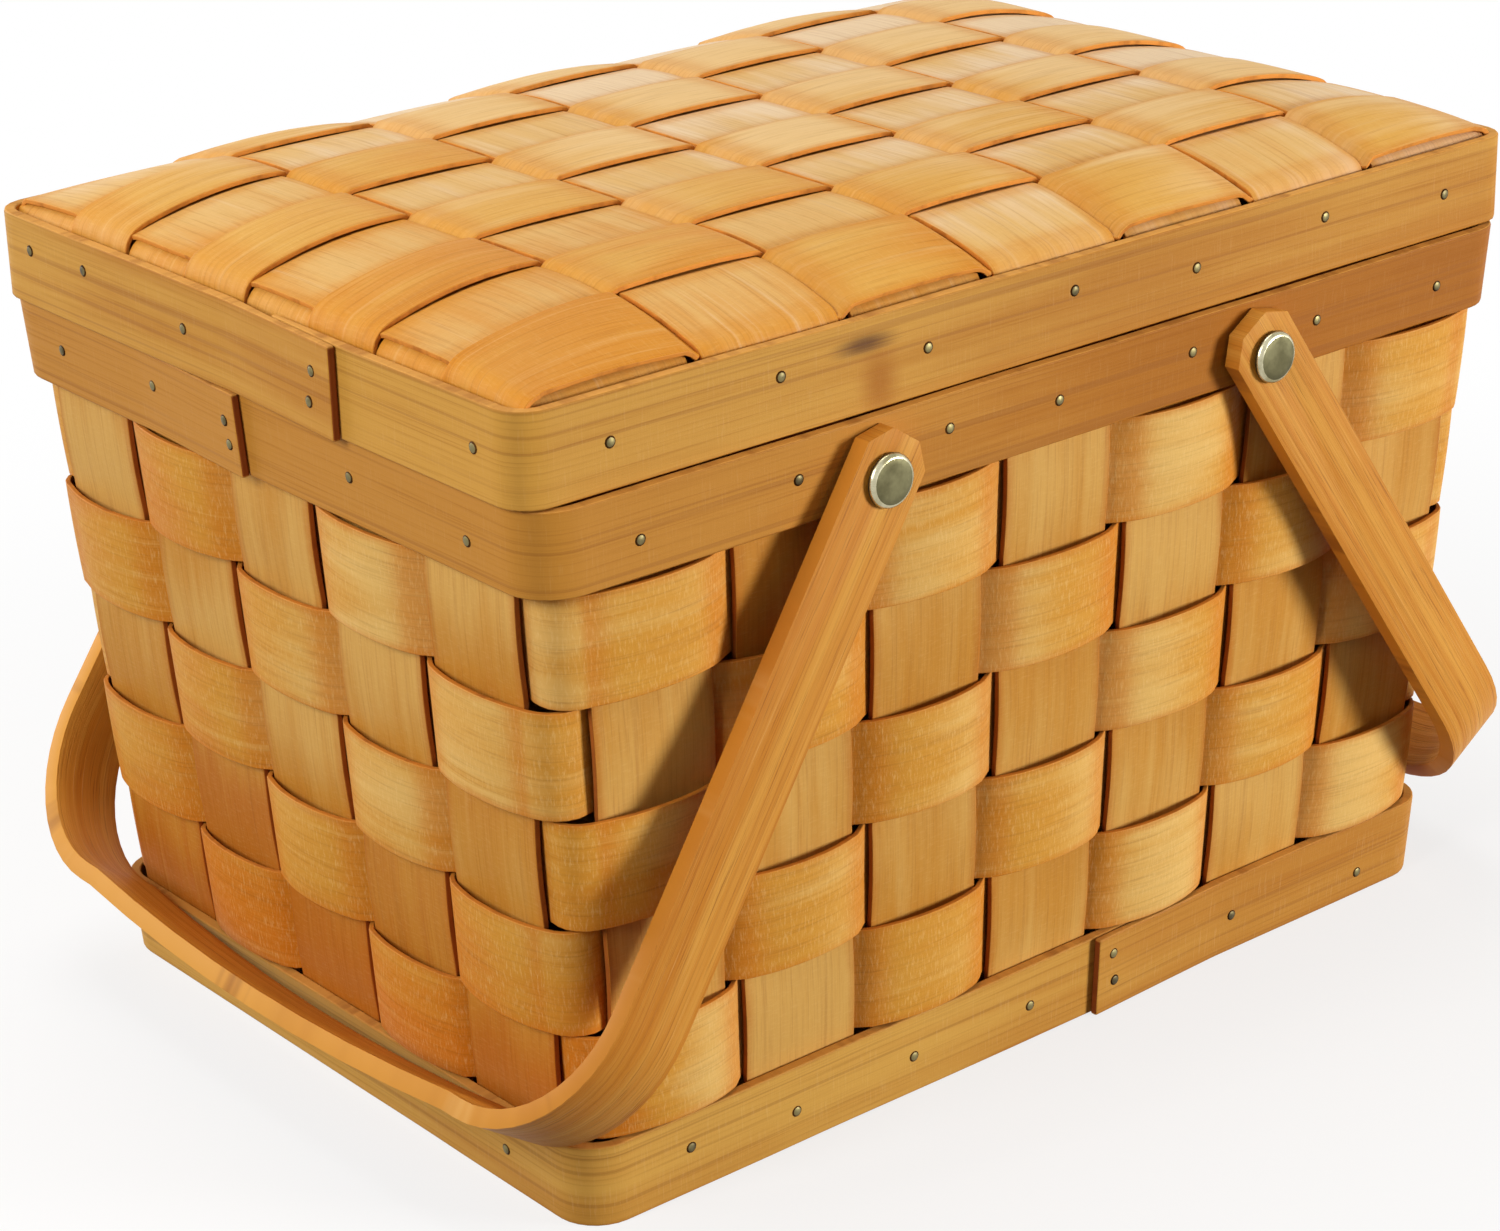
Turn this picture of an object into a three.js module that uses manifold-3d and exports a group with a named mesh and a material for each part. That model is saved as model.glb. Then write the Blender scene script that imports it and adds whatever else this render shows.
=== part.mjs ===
// Picnic basket of woven wood splints: a flared body, a lift-off lid and two swinging bentwood handles.
// Millimetres, +Z up. X runs along the basket, -Y is its front, and the origin is on the ground under
// the middle of the base.
import * as THREE from 'three';
import { mergeVertices } from 'three/addons/utils/BufferGeometryUtils.js';
import Module from 'manifold-3d';

// Body, measured over the outer faces of the upright stakes.
const BASE_LENGTH = 258.7;
const BASE_WIDTH = 182.5;
const MOUTH_LENGTH = 281.2;
const MOUTH_WIDTH = 199.6;
const BODY_HEIGHT = 168;
const CORNER_RADIUS = 8;

// Clearances: between pieces that touch, and between the lid's liner and the mouth it drops into.
const FIT_GAP = 0.3;
const LID_CLEARANCE = 0.5;

// Stakes: wide splints from wall to wall under the bottom.
const STAKE_WIDTH = 31;
const STAKE_THICKNESS = 1.4;
const STAKE_LEAST_GAP = 2.5;
const STAKE_BEND_RADIUS = 6;
const BOTTOM_CLEARANCE = 1.2;
const BOTTOM_BULGE = 0.8;

// Weavers: splint hoops that go over one stake and under the next.
const WEAVER_WIDTH = 25;
const WEAVER_THICKNESS = 1.2;
const WEAVER_BULGE = 2.6;
const WEAVER_TUCK = 4;
const EDGE_EASE = 0.4;

// Sawn bands round the foot, the rim and the lid, each with its two ends lapped.
const BASE_BAND_HEIGHT = 20;
const BASE_BAND_THICKNESS = 2.6;
const RIM_BAND_HEIGHT = 19.2;
const RIM_BAND_THICKNESS = 2.6;
const RIM_INNER_HEIGHT = 13;
const RIM_INNER_THICKNESS = 2.2;
const LAP_LENGTH = 26;
const LAP_RAMP = 16;
const LAP_SKIVE = 0.5;
const LAP_TIP = 1.8;
const LID_LAP_AT = -39.5;
const RIM_LAP_AT = 1.6;
const BASE_LAP_AT = 15.5;

// Lid.
const LID_END_OVERHANG = 1.5;
const LID_SIDE_SETBACK = 2.2;
const LID_CORNER_RADIUS = 7.6;
const LID_BAND_HEIGHT = 20.5;
const LID_BAND_THICKNESS = 2.6;
const LID_LINER_THICKNESS = 2.6;
const LID_LINER_DROP = 5.8;
const LID_LINER_HEIGHT = 20;
const LID_WEAVE_RISE = 7.2;
const LID_END_ROLL = 42;
const LID_END_DROP = 4.5;
const LID_SIDE_ROLL = 42;
const LID_SIDE_DROP = 5.5;
const LID_STRIP_THICKNESS = 1.2;
const LID_STRIP_SHORT = 1.5;
const LID_END_GAP = 0.9;
const LID_CROSS_WIDTH = 36;
const LID_CROSS_LEAST_GAP = 3;
const LID_CROSS_MARGIN = 0.2;
const LID_CROSS_BEND = 2.5;
const LID_LONG_WIDTH = 23.2;
const LID_LONG_LEAST_GAP = 0.4;
const LID_LONG_BEND = 4;
const LID_BULGE = 0.4;

// Handles and the rivets they swing on.
const HANDLE_WIDTH = 18.5;
const HANDLE_THICKNESS = 4.2;
const HANDLE_REACH = 156;
const HANDLE_SPREAD = 4.6;
const HANDLE_BOW = 3.9;
const HANDLE_BEND_RADIUS = 33;
const HANDLE_TOP = 10;
const HANDLE_CLIP = 5;
const RIVET_BELOW_RIM = 12.3;
const RIVET_CAP_RADIUS = 6;
const RIVET_CAP_THICKNESS = 1.6;
const RIVET_CAP_BEVEL = 0.7;
const RIVET_SHANK_RADIUS = 1.9;
const BACK_CAP_THICKNESS = 1.8;
const BACK_CAP_SOCKET = 0.9;

// How round things are divided.
const CORNER_STEPS = 4;
const BEND_STEPS = 5;
const LID_BEND_STEPS = 4;
const HANDLE_BEND_STEPS = 12;
const HANDLE_BOW_STEPS = 4;
const ROUND_SIDES = 20;
const HANGING_ROUNDS = 8;

const STAKE_WOOD = new THREE.MeshStandardMaterial({ color: 0xdfae66, roughness: 0.6, metalness: 0 });
const WEAVER_WOOD = new THREE.MeshStandardMaterial({ color: 0xe0a550, roughness: 0.55, metalness: 0 });
const BAND_WOOD = new THREE.MeshStandardMaterial({ color: 0xd39a52, roughness: 0.6, metalness: 0 });
const HANDLE_WOOD = new THREE.MeshStandardMaterial({ color: 0xd9903f, roughness: 0.55, metalness: 0 });
const RIVET_BRASS = new THREE.MeshStandardMaterial({ color: 0xa79a72, roughness: 0.35, metalness: 1 });

const wasm = await Module();
wasm.setup();

const basket = new THREE.Group();

function add(name, geometry, material) {
  const mesh = new THREE.Mesh(geometry, material);
  mesh.name = name;
  basket.add(mesh);
  return mesh;
}

// Boolean cuts on closed three.js geometry.
function toSolid(geometry) {
  const bare = geometry.index ? geometry.toNonIndexed() : geometry.clone();
  bare.deleteAttribute('normal');
  bare.deleteAttribute('uv');
  const merged = mergeVertices(bare, 1e-4);
  const vertProperties = new Float32Array(merged.attributes.position.array);
  const triVerts = new Uint32Array(merged.index.array);
  return new wasm.Manifold(new wasm.Mesh({ numProp: 3, vertProperties, triVerts }));
}

function toGeometry(solid) {
  const mesh = solid.getMesh();
  const geometry = new THREE.BufferGeometry();
  geometry.setAttribute('position', new THREE.BufferAttribute(new Float32Array(mesh.vertProperties), 3));
  geometry.setIndex(new THREE.BufferAttribute(new Uint32Array(mesh.triVerts), 1));
  geometry.computeVertexNormals();
  return geometry;
}

function cutHoles(geometry, cutters) {
  return toGeometry(cutters.reduce((solid, cutter) => solid.subtract(toSolid(cutter)), toSolid(geometry)));
}

// The walls lean out by the same amount per millimetre of height all the way up.
const LEAN_X = (MOUTH_LENGTH - BASE_LENGTH) / 2 / BODY_HEIGHT;
const LEAN_Y = (MOUTH_WIDTH - BASE_WIDTH) / 2 / BODY_HEIGHT;

function wallHalfX(z) {
  return BASE_LENGTH / 2 + LEAN_X * z;
}

function wallHalfY(z) {
  return BASE_WIDTH / 2 + LEAN_Y * z;
}

// Leans a hoop that was extruded straight up, so that it follows the walls above and below height z.
function lean(geometry, z) {
  const position = geometry.attributes.position;
  for (let i = 0; i < position.count; i += 1) {
    const height = position.getZ(i) - z;
    position.setX(i, position.getX(i) * (1 + (height * LEAN_X) / wallHalfX(z)));
    position.setY(i, position.getY(i) * (1 + (height * LEAN_Y) / wallHalfY(z)));
  }
  return geometry;
}

function extrude(outline, depth) {
  return new THREE.ExtrudeGeometry(new THREE.Shape(outline), { depth, bevelEnabled: false });
}

// A strip's outline from its middle line: each point has a place, a normal, and the strip's faces on it.
function stripOutline(path) {
  const outer = path.map((p) => new THREE.Vector2(p.x + p.nx * p.outer, p.y + p.ny * p.outer));
  const inner = path.map((p) => new THREE.Vector2(p.x + p.nx * p.inner, p.y + p.ny * p.inner));
  return [...outer, ...inner.reverse()];
}

// Columns of stakes or strips, spread evenly over a length, with their middles measured from its centre.
function columns(length, width, leastGap) {
  const count = Math.floor((length + leastGap) / (width + leastGap));
  const pitch = (length - width) / (count - 1);
  return Array.from({ length: count }, (_, i) => (i - (count - 1) / 2) * pitch);
}

// Where a weaving strip crosses one flat strip: it clears both edges and bows in between.
function crossing(middle, width, side, clear, bulge) {
  const half = width / 2 + EDGE_EASE;
  return [
    { at: middle - half, off: side * clear },
    { at: middle - half / 3, off: side * (clear + bulge) },
    { at: middle + half / 3, off: side * (clear + bulge) },
    { at: middle + half, off: side * clear },
  ];
}

// A strip bent to a U: two walls, which may lean out, and a floor, flat or woven over and under.
// x runs along the floor, y from the floor's middle plane towards the wall ends.
function bentStrip({ half, slope, rise, thickness, bend, steps, wave }) {
  const faces = { outer: thickness / 2, inner: -thickness / 2 };
  const tilt = Math.atan(slope);
  const wall = (sign, floor) => {
    const centreY = floor + bend;
    const centreX = half + slope * centreY - bend * Math.hypot(1, slope);
    const points = [];
    for (let i = 0; i <= steps; i += 1) {
      const angle = -Math.PI / 2 + ((Math.PI / 2 - tilt) * i) / steps;
      const nx = Math.cos(angle);
      const ny = Math.sin(angle);
      points.push({ x: sign * (centreX + bend * nx), y: centreY + bend * ny, nx: sign * nx, ny, ...faces });
    }
    const end = { x: sign * (half + slope * rise), y: rise, nx: sign * Math.cos(tilt), ny: -Math.sin(tilt) };
    points.push({ ...end, ...faces });
    return points;
  };
  const floor = wave.map(({ at, off }) => ({ x: at, y: -off, nx: 0, ny: -1, ...faces }));
  const first = wave.length ? -wave[0].off : 0;
  const last = wave.length ? -wave[wave.length - 1].off : 0;
  return stripOutline([...wall(-1, first).reverse(), ...floor, ...wall(1, last)]);
}

// Turns an extruded profile so that it stands in the YZ plane, or in the XZ plane, centred on its width.
function acrossX(outline, width) {
  return extrude(outline, width).translate(0, 0, -width / 2).rotateX(Math.PI / 2).rotateZ(Math.PI / 2);
}

function acrossY(outline, width) {
  return extrude(outline, width).translate(0, 0, -width / 2).rotateX(Math.PI / 2);
}

// The four sides of a rounded rectangle, taken anticlockwise from the front.
const SIDES = [
  { tx: 1, ty: 0, nx: 0, ny: -1, lengthwise: true },
  { tx: 0, ty: 1, nx: 1, ny: 0, lengthwise: false },
  { tx: -1, ty: 0, nx: 0, ny: 1, lengthwise: true },
  { tx: 0, ty: -1, nx: -1, ny: 0, lengthwise: false },
];
const [FRONT, , BACK, LEFT] = SIDES.keys();

// A point on a side of the rectangle, by its distance along the side from the side's middle.
function onSide(index, halfX, halfY, at) {
  const side = SIDES[index % 4];
  const away = side.lengthwise ? halfY : halfX;
  const x = side.tx * at + side.nx * away;
  const y = side.ty * at + side.ny * away;
  return { x, y, nx: side.nx, ny: side.ny };
}

// The round corner after a side, as points with their normals.
function roundCorner(index, halfX, halfY, radius) {
  const side = SIDES[index % 4];
  const next = SIDES[(index + 1) % 4];
  const points = [];
  for (let i = 0; i <= CORNER_STEPS; i += 1) {
    const share = i / CORNER_STEPS;
    const c = Math.cos((share * Math.PI) / 2);
    const s = Math.sin((share * Math.PI) / 2);
    const nx = side.nx * c + next.nx * s;
    const ny = side.ny * c + next.ny * s;
    const x = (side.nx + next.nx) * (halfX - radius) + nx * radius;
    const y = (side.ny + next.ny) * (halfY - radius) + ny * radius;
    points.push({ x, y, nx, ny, share });
  }
  return points;
}

// A band bent round a rounded rectangle, whose faces lie from 0 to its thickness outside it. Its end
// comes round on top of its own start, both pared down there, and stops at "at" along the lapped side.
function bandOutline({ halfX, halfY, radius, thickness, lapSide, at }) {
  const start = at - LAP_LENGTH;
  const skive = thickness * LAP_SKIVE;
  const place = (along) => onSide(lapSide, halfX, halfY, along);
  const path = [{ ...place(start), inner: 0, outer: skive }, { ...place(at), inner: 0, outer: thickness }];
  for (let i = 0; i < 4; i += 1) {
    const corner = roundCorner(lapSide + i, halfX, halfY, radius);
    path.push(...corner.map((p) => ({ ...p, inner: 0, outer: thickness })));
  }
  const lifted = thickness + FIT_GAP;
  path.push({ ...place(start - LAP_RAMP), inner: 0, outer: thickness });
  path.push({ ...place(start - FIT_GAP), inner: skive + FIT_GAP, outer: thickness + LAP_TIP / 3 });
  path.push({ ...place(at), inner: lifted, outer: lifted + LAP_TIP });
  return stripOutline(path);
}

function leaningBand(settings, bottom, height, inset) {
  const middle = bottom + height / 2;
  const outline = bandOutline({
    halfX: wallHalfX(middle) + inset,
    halfY: wallHalfY(middle) + inset,
    radius: CORNER_RADIUS + inset,
    ...settings,
  });
  return { outline, place: (shape) => lean(extrude(shape, height).translate(0, 0, bottom), middle) };
}

// Stakes. The flat bottom of the cross stakes is one plane, and the long stakes weave through it.
const COLUMN_INSET = Math.max(CORNER_RADIUS, STAKE_BEND_RADIUS + STAKE_THICKNESS + EDGE_EASE);
const CROSS_COLUMNS = columns(BASE_LENGTH - 2 * COLUMN_INSET, STAKE_WIDTH, STAKE_LEAST_GAP);
const LONG_COLUMNS = columns(BASE_WIDTH - 2 * COLUMN_INSET, STAKE_WIDTH, STAKE_LEAST_GAP);
const STAKE_CLEAR = STAKE_THICKNESS + FIT_GAP;
const BOTTOM_PLANE = BOTTOM_CLEARANCE + STAKE_THICKNESS / 2 + STAKE_CLEAR + BOTTOM_BULGE;
const STAKE_TOP = BODY_HEIGHT - FIT_GAP;

// Stakes spread like a fan: their middles keep their share of the wall as it widens.
function fan(geometry, axis, middle, leanRate, baseHalf) {
  const position = geometry.attributes.position;
  for (let i = 0; i < position.count; i += 1) {
    const shift = middle * (1 + (position.getZ(i) * leanRate) / baseHalf);
    position.setComponent(i, axis, position.getComponent(i, axis) + shift);
  }
  return geometry;
}

function stakeOutline(baseHalf, slope, wave) {
  return bentStrip({
    half: baseHalf + slope * BOTTOM_PLANE - (STAKE_THICKNESS / 2) * Math.hypot(1, slope),
    slope,
    rise: STAKE_TOP - BOTTOM_PLANE,
    thickness: STAKE_THICKNESS,
    bend: STAKE_BEND_RADIUS,
    steps: BEND_STEPS,
    wave,
  });
}

CROSS_COLUMNS.forEach((middle, j) => {
  const stake = acrossX(stakeOutline(BASE_WIDTH / 2, LEAN_Y, []), STAKE_WIDTH).translate(0, 0, BOTTOM_PLANE);
  add(`cross_stake_${j + 1}`, fan(stake, 0, middle, LEAN_X, BASE_LENGTH / 2), STAKE_WOOD);
});

LONG_COLUMNS.forEach((middle, k) => {
  const side = (j) => ((j + k) % 2 === 0 ? 1 : -1);
  const wave = CROSS_COLUMNS.flatMap((x, j) => crossing(x, STAKE_WIDTH, side(j), STAKE_CLEAR, BOTTOM_BULGE));
  const outline = stakeOutline(BASE_LENGTH / 2, LEAN_X, wave);
  const stake = acrossY(outline, STAKE_WIDTH).translate(0, 0, BOTTOM_PLANE);
  add(`long_stake_${k + 1}`, fan(stake, 1, middle, LEAN_Y, BASE_WIDTH / 2), STAKE_WOOD);
});

// Weavers, from the top row down. Every second one starts on the other face of the stakes, and each
// ends behind a stake in the back wall, where its two ends lie one on the other.
const RIM_BOTTOM = BODY_HEIGHT - RIM_BAND_HEIGHT;
const WEAVE_BOTTOM = BASE_BAND_HEIGHT + FIT_GAP;
const WEAVE_HEIGHT = RIM_BOTTOM - FIT_GAP - WEAVE_BOTTOM;
const ROWS = Math.floor((WEAVE_HEIGHT + FIT_GAP) / (WEAVER_WIDTH + FIT_GAP));
const ROW_PITCH = WEAVE_HEIGHT / ROWS;
const WEAVER_CLEAR = (STAKE_THICKNESS + WEAVER_THICKNESS) / 2 + FIT_GAP;

function weaverOutline(row, z) {
  const halfX = wallHalfX(z) - STAKE_THICKNESS / 2;
  const halfY = wallHalfY(z) - STAKE_THICKNESS / 2;
  const radius = CORNER_RADIUS - STAKE_THICKNESS / 2;
  const faces = { outer: WEAVER_THICKNESS / 2, inner: -WEAVER_THICKNESS / 2 };
  const atHeight = {
    true: CROSS_COLUMNS.map((x) => (x * wallHalfX(z)) / wallHalfX(0)),
    false: LONG_COLUMNS.map((y) => (y * wallHalfY(z)) / wallHalfY(0)),
  };
  const along = (index) => atHeight[SIDES[index % 4].lengthwise];
  const put = (index, { at, off }) => {
    const p = onSide(index, halfX, halfY, at);
    return { ...p, x: p.x + p.nx * off, y: p.y + p.ny * off, ...faces };
  };
  // Cells are counted from the front left corner, and alternate outside and inside.
  const firstCell = (index) => [...Array(index % 4).keys()].reduce((sum, i) => sum + along(i).length, 0);
  const sideOf = (index, j) => ((firstCell(index) + j + row) % 2 === 0 ? 1 : -1);
  const cell = (index, j) => {
    const points = crossing(along(index)[j], STAKE_WIDTH, sideOf(index, j), WEAVER_CLEAR, WEAVER_BULGE);
    return points.map((p) => put(index, p));
  };
  const corner = (index) => {
    const before = sideOf(index, along(index).length - 1) * WEAVER_CLEAR;
    return roundCorner(index, halfX, halfY, radius).map((p) => {
      const off = before * (1 - 2 * p.share);
      return { ...p, x: p.x + p.nx * off, y: p.y + p.ny * off, ...faces };
    });
  };
  // The tucked cell is the inside one nearest the middle of the back wall.
  const backMiddle = Math.floor(along(BACK).length / 2);
  const tucked = sideOf(BACK, backMiddle) < 0 ? backMiddle : backMiddle - 1;
  const middle = along(BACK)[tucked];
  const tuck = crossing(middle, STAKE_WIDTH, -1, WEAVER_CLEAR, WEAVER_BULGE);
  const under = WEAVER_THICKNESS + FIT_GAP;
  const startAt = tuck[0].at + WEAVER_TUCK;
  const endAt = tuck[3].at - WEAVER_TUCK;
  const path = [put(BACK, { at: startAt, off: tuck[1].off }), ...tuck.slice(1).map((p) => put(BACK, p))];
  for (let turn = 0; turn <= 4; turn += 1) {
    const index = BACK + turn;
    const from = turn === 0 ? tucked + 1 : 0;
    const to = turn === 4 ? tucked : along(index).length;
    for (let j = from; j < to; j += 1) {
      path.push(...cell(index, j));
    }
    if (turn < 4) {
      path.push(...corner(index));
    }
  }
  path.push(put(BACK, { at: tuck[0].at, off: tuck[0].off - under / 2 }));
  path.push(put(BACK, { at: tuck[1].at, off: tuck[1].off - under }));
  path.push(put(BACK, { at: endAt, off: tuck[2].off - under }));
  return stripOutline(path);
}

for (let row = 0; row < ROWS; row += 1) {
  const z = WEAVE_BOTTOM + (ROWS - row - 0.5) * ROW_PITCH;
  const width = Math.min(WEAVER_WIDTH, ROW_PITCH - FIT_GAP);
  const hoop = extrude(weaverOutline(row, z), width).translate(0, 0, z - width / 2);
  add(`weaver_${row + 1}`, lean(hoop, z), WEAVER_WOOD);
}

// The rivets pass between two stakes, so they stand in the gap after the second column from each end.
const RIVET_Z = BODY_HEIGHT - RIVET_BELOW_RIM;
const RIVET_X = ((CROSS_COLUMNS.at(-2) + CROSS_COLUMNS.at(-3)) / 2) * (wallHalfX(RIVET_Z) / wallHalfX(0));
const RIVET_HOLE_RADIUS = RIVET_SHANK_RADIUS + FIT_GAP;

function rivetHoles() {
  return [-RIVET_X, RIVET_X].map((x) => {
    const length = MOUTH_WIDTH * 2;
    const drill = new THREE.CylinderGeometry(RIVET_HOLE_RADIUS, RIVET_HOLE_RADIUS, length, ROUND_SIDES);
    return drill.translate(x, 0, RIVET_Z);
  });
}

// Bands of the body. The base band's lap faces the other way, so its outline is mirrored.
const baseBand = leaningBand(
  { thickness: BASE_BAND_THICKNESS, lapSide: FRONT, at: -BASE_LAP_AT }, 0, BASE_BAND_HEIGHT, FIT_GAP,
);
const mirrored = baseBand.outline.map((p) => new THREE.Vector2(-p.x, p.y));
add('base_band', baseBand.place(mirrored), BAND_WOOD);

const rimBand = leaningBand(
  { thickness: RIM_BAND_THICKNESS, lapSide: LEFT, at: -RIM_LAP_AT }, RIM_BOTTOM, RIM_BAND_HEIGHT, FIT_GAP,
);
add('rim_outer_band', cutHoles(rimBand.place(rimBand.outline), rivetHoles()), BAND_WOOD);

// The inner band's lap has to face inwards, so its bare outline is a plain open hoop with butted ends.
const RIM_INNER_FACE = -STAKE_THICKNESS - FIT_GAP;

function innerHoop(halfX, halfY, radius, thickness) {
  const faces = { outer: 0, inner: -thickness };
  const path = [{ ...onSide(BACK, halfX, halfY, FIT_GAP / 2), ...faces }];
  for (let i = 0; i < 4; i += 1) {
    path.push(...roundCorner(BACK + i, halfX, halfY, radius).map((p) => ({ ...p, ...faces })));
  }
  path.push({ ...onSide(BACK, halfX, halfY, -FIT_GAP / 2), ...faces });
  return stripOutline(path);
}

const rimInnerMiddle = RIM_BOTTOM + RIM_INNER_HEIGHT / 2;
const rimInner = extrude(
  innerHoop(
    wallHalfX(rimInnerMiddle) + RIM_INNER_FACE,
    wallHalfY(rimInnerMiddle) + RIM_INNER_FACE,
    CORNER_RADIUS + RIM_INNER_FACE,
    RIM_INNER_THICKNESS,
  ),
  RIM_INNER_HEIGHT,
).translate(0, 0, RIM_BOTTOM);
add('rim_inner_band', cutHoles(lean(rimInner, rimInnerMiddle), rivetHoles()), BAND_WOOD);

// Lid band and the four straight liner strips inside it, which hold the strip ends on the front and back,
// and keep clear of the mouth's walls.
const RIM_HALF_X = MOUTH_LENGTH / 2 + FIT_GAP + RIM_BAND_THICKNESS;
const RIM_HALF_Y = MOUTH_WIDTH / 2 + FIT_GAP + RIM_BAND_THICKNESS;
const LID_HALF_X = RIM_HALF_X + LID_END_OVERHANG;
const LID_HALF_Y = RIM_HALF_Y - LID_SIDE_SETBACK;
const LID_INNER_RADIUS = LID_CORNER_RADIUS - LID_BAND_THICKNESS;
const LID_BOTTOM = BODY_HEIGHT + FIT_GAP;
const LID_BAND_TOP = LID_BOTTOM + LID_BAND_HEIGHT;
const STRIP_HALF_X = LID_HALF_X - LID_BAND_THICKNESS - LID_END_GAP;
const STRIP_HALF_Y = LID_HALF_Y - LID_BAND_THICKNESS - FIT_GAP;
const LINER_BOTTOM = LID_BOTTOM - LID_LINER_DROP;
const STRIP_DEPTH = LID_STRIP_THICKNESS + FIT_GAP;
const MOUTH_DEPTH = STAKE_THICKNESS + LID_CLEARANCE;
const LINER_HALF_X = Math.min(STRIP_HALF_X - STRIP_DEPTH, wallHalfX(LINER_BOTTOM) - MOUTH_DEPTH);
const LINER_HALF_Y = Math.min(STRIP_HALF_Y - STRIP_DEPTH, wallHalfY(LINER_BOTTOM) - MOUTH_DEPTH);

const lidBand = bandOutline({
  halfX: LID_HALF_X - LID_BAND_THICKNESS,
  halfY: LID_HALF_Y - LID_BAND_THICKNESS,
  radius: LID_INNER_RADIUS,
  thickness: LID_BAND_THICKNESS,
  lapSide: LEFT,
  at: -LID_LAP_AT,
});
add('lid_band', extrude(lidBand, LID_BAND_HEIGHT).translate(0, 0, LID_BOTTOM), BAND_WOOD);

function liner(name, lengthX, lengthY, x, y) {
  const strip = new THREE.BoxGeometry(lengthX, lengthY, LID_LINER_HEIGHT);
  add(`lid_liner_${name}`, strip.translate(x, y, LINER_BOTTOM + LID_LINER_HEIGHT / 2), BAND_WOOD);
}

const linerMiddleX = LINER_HALF_X - LID_LINER_THICKNESS / 2;
const linerMiddleY = LINER_HALF_Y - LID_LINER_THICKNESS / 2;
const endLinerLength = 2 * (LINER_HALF_Y - LID_LINER_THICKNESS - FIT_GAP);
liner('front', 2 * LINER_HALF_X, LID_LINER_THICKNESS, 0, -linerMiddleY);
liner('back', 2 * LINER_HALF_X, LID_LINER_THICKNESS, 0, linerMiddleY);
liner('left', LID_LINER_THICKNESS, endLinerLength, -linerMiddleX, 0);
liner('right', LID_LINER_THICKNESS, endLinerLength, linerMiddleX, 0);

// Lid strips: the long strips weave over and under the cross strips, and the whole weave rolls down to
// the band all round. The outer long strips stop short of the cross strips' bends, and of the band's
// round corners.
const LID_PLANE = LID_BAND_TOP + LID_WEAVE_RISE + LID_STRIP_THICKNESS / 2;
const LID_STRIP_FALL = LID_PLANE - LID_END_DROP - LID_SIDE_DROP - LID_BOTTOM - LID_STRIP_SHORT;
const LID_CLEAR = LID_STRIP_THICKNESS + FIT_GAP;
const LID_CROSS_INSET = LID_STRIP_THICKNESS / 2 + LID_LONG_BEND + EDGE_EASE + LID_CROSS_MARGIN;
const LID_CROSS_SPAN = 2 * (STRIP_HALF_X - LID_CROSS_INSET);
const LID_CORNER_ROOM = Math.sqrt((LID_INNER_RADIUS - FIT_GAP) ** 2 - (LID_INNER_RADIUS - LID_END_GAP) ** 2);
const LID_CORNER_REACH = STRIP_HALF_Y - LID_INNER_RADIUS + LID_CORNER_ROOM;
const LID_LONG_SPAN = 2 * Math.min(STRIP_HALF_Y - LID_CROSS_BEND, LID_CORNER_REACH);
const LID_CROSS_COLUMNS = columns(LID_CROSS_SPAN, LID_CROSS_WIDTH, LID_CROSS_LEAST_GAP);
const LID_LONG_COLUMNS = columns(LID_LONG_SPAN, LID_LONG_WIDTH, LID_LONG_LEAST_GAP);

// How far the weave has rolled down, as straight lines between the strips' edges, which keeps each strip
// flat across its width.
function rolled(at, edges, half, roll, drop) {
  const curve = (place) => drop * Math.max(0, (Math.abs(place) - half) / roll + 1) ** 2;
  const next = edges.findIndex((edge) => edge > at);
  if (next < 1) {
    return curve(at);
  }
  const share = (at - edges[next - 1]) / (edges[next] - edges[next - 1]);
  return curve(edges[next - 1]) * (1 - share) + curve(edges[next]) * share;
}

const crossEdges = LID_CROSS_COLUMNS.flatMap((x) => [x - LID_CROSS_WIDTH / 2, x + LID_CROSS_WIDTH / 2]);
const longEdges = LID_LONG_COLUMNS.flatMap((y) => [y - LID_LONG_WIDTH / 2, y + LID_LONG_WIDTH / 2]);

const endRoll = (x) => rolled(x, crossEdges, STRIP_HALF_X, LID_END_ROLL, LID_END_DROP);
const sideRoll = (y) => rolled(y, longEdges, STRIP_HALF_Y, LID_SIDE_ROLL, LID_SIDE_DROP);

function lidStripOutline(half, bend, wave, roll) {
  const outline = bentStrip({
    half: half - LID_STRIP_THICKNESS / 2,
    slope: 0,
    rise: LID_STRIP_FALL,
    thickness: LID_STRIP_THICKNESS,
    bend,
    steps: LID_BEND_STEPS,
    wave,
  });
  return outline.map((p) => new THREE.Vector2(p.x, -p.y - roll(p.x)));
}

// Tilts a strip across its width, as the weave rolls down beside it.
function tilt(strip, dropAt) {
  const position = strip.attributes.position;
  for (let i = 0; i < position.count; i += 1) {
    position.setZ(i, position.getZ(i) - dropAt(position.getX(i), position.getY(i)));
  }
  return strip;
}

// A cross strip lies flat, and gets points at the edges of the outer long strips, to roll down there.
const crossEnd = STRIP_HALF_Y - LID_STRIP_THICKNESS / 2 - LID_CROSS_BEND - EDGE_EASE;
const crossFlat = STRIP_HALF_Y - LID_SIDE_ROLL - LID_LONG_WIDTH;
const crossBends = longEdges.filter((at) => Math.abs(at) > crossFlat && Math.abs(at) < crossEnd);
const crossWave = crossBends.map((at) => ({ at, off: 0 }));

LID_CROSS_COLUMNS.forEach((x, j) => {
  const outline = lidStripOutline(STRIP_HALF_Y, LID_CROSS_BEND, crossWave, sideRoll);
  const strip = acrossX(outline, LID_CROSS_WIDTH).translate(x, 0, LID_PLANE);
  add(`lid_cross_strip_${j + 1}`, tilt(strip, (px) => endRoll(px)), STAKE_WOOD);
});

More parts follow.
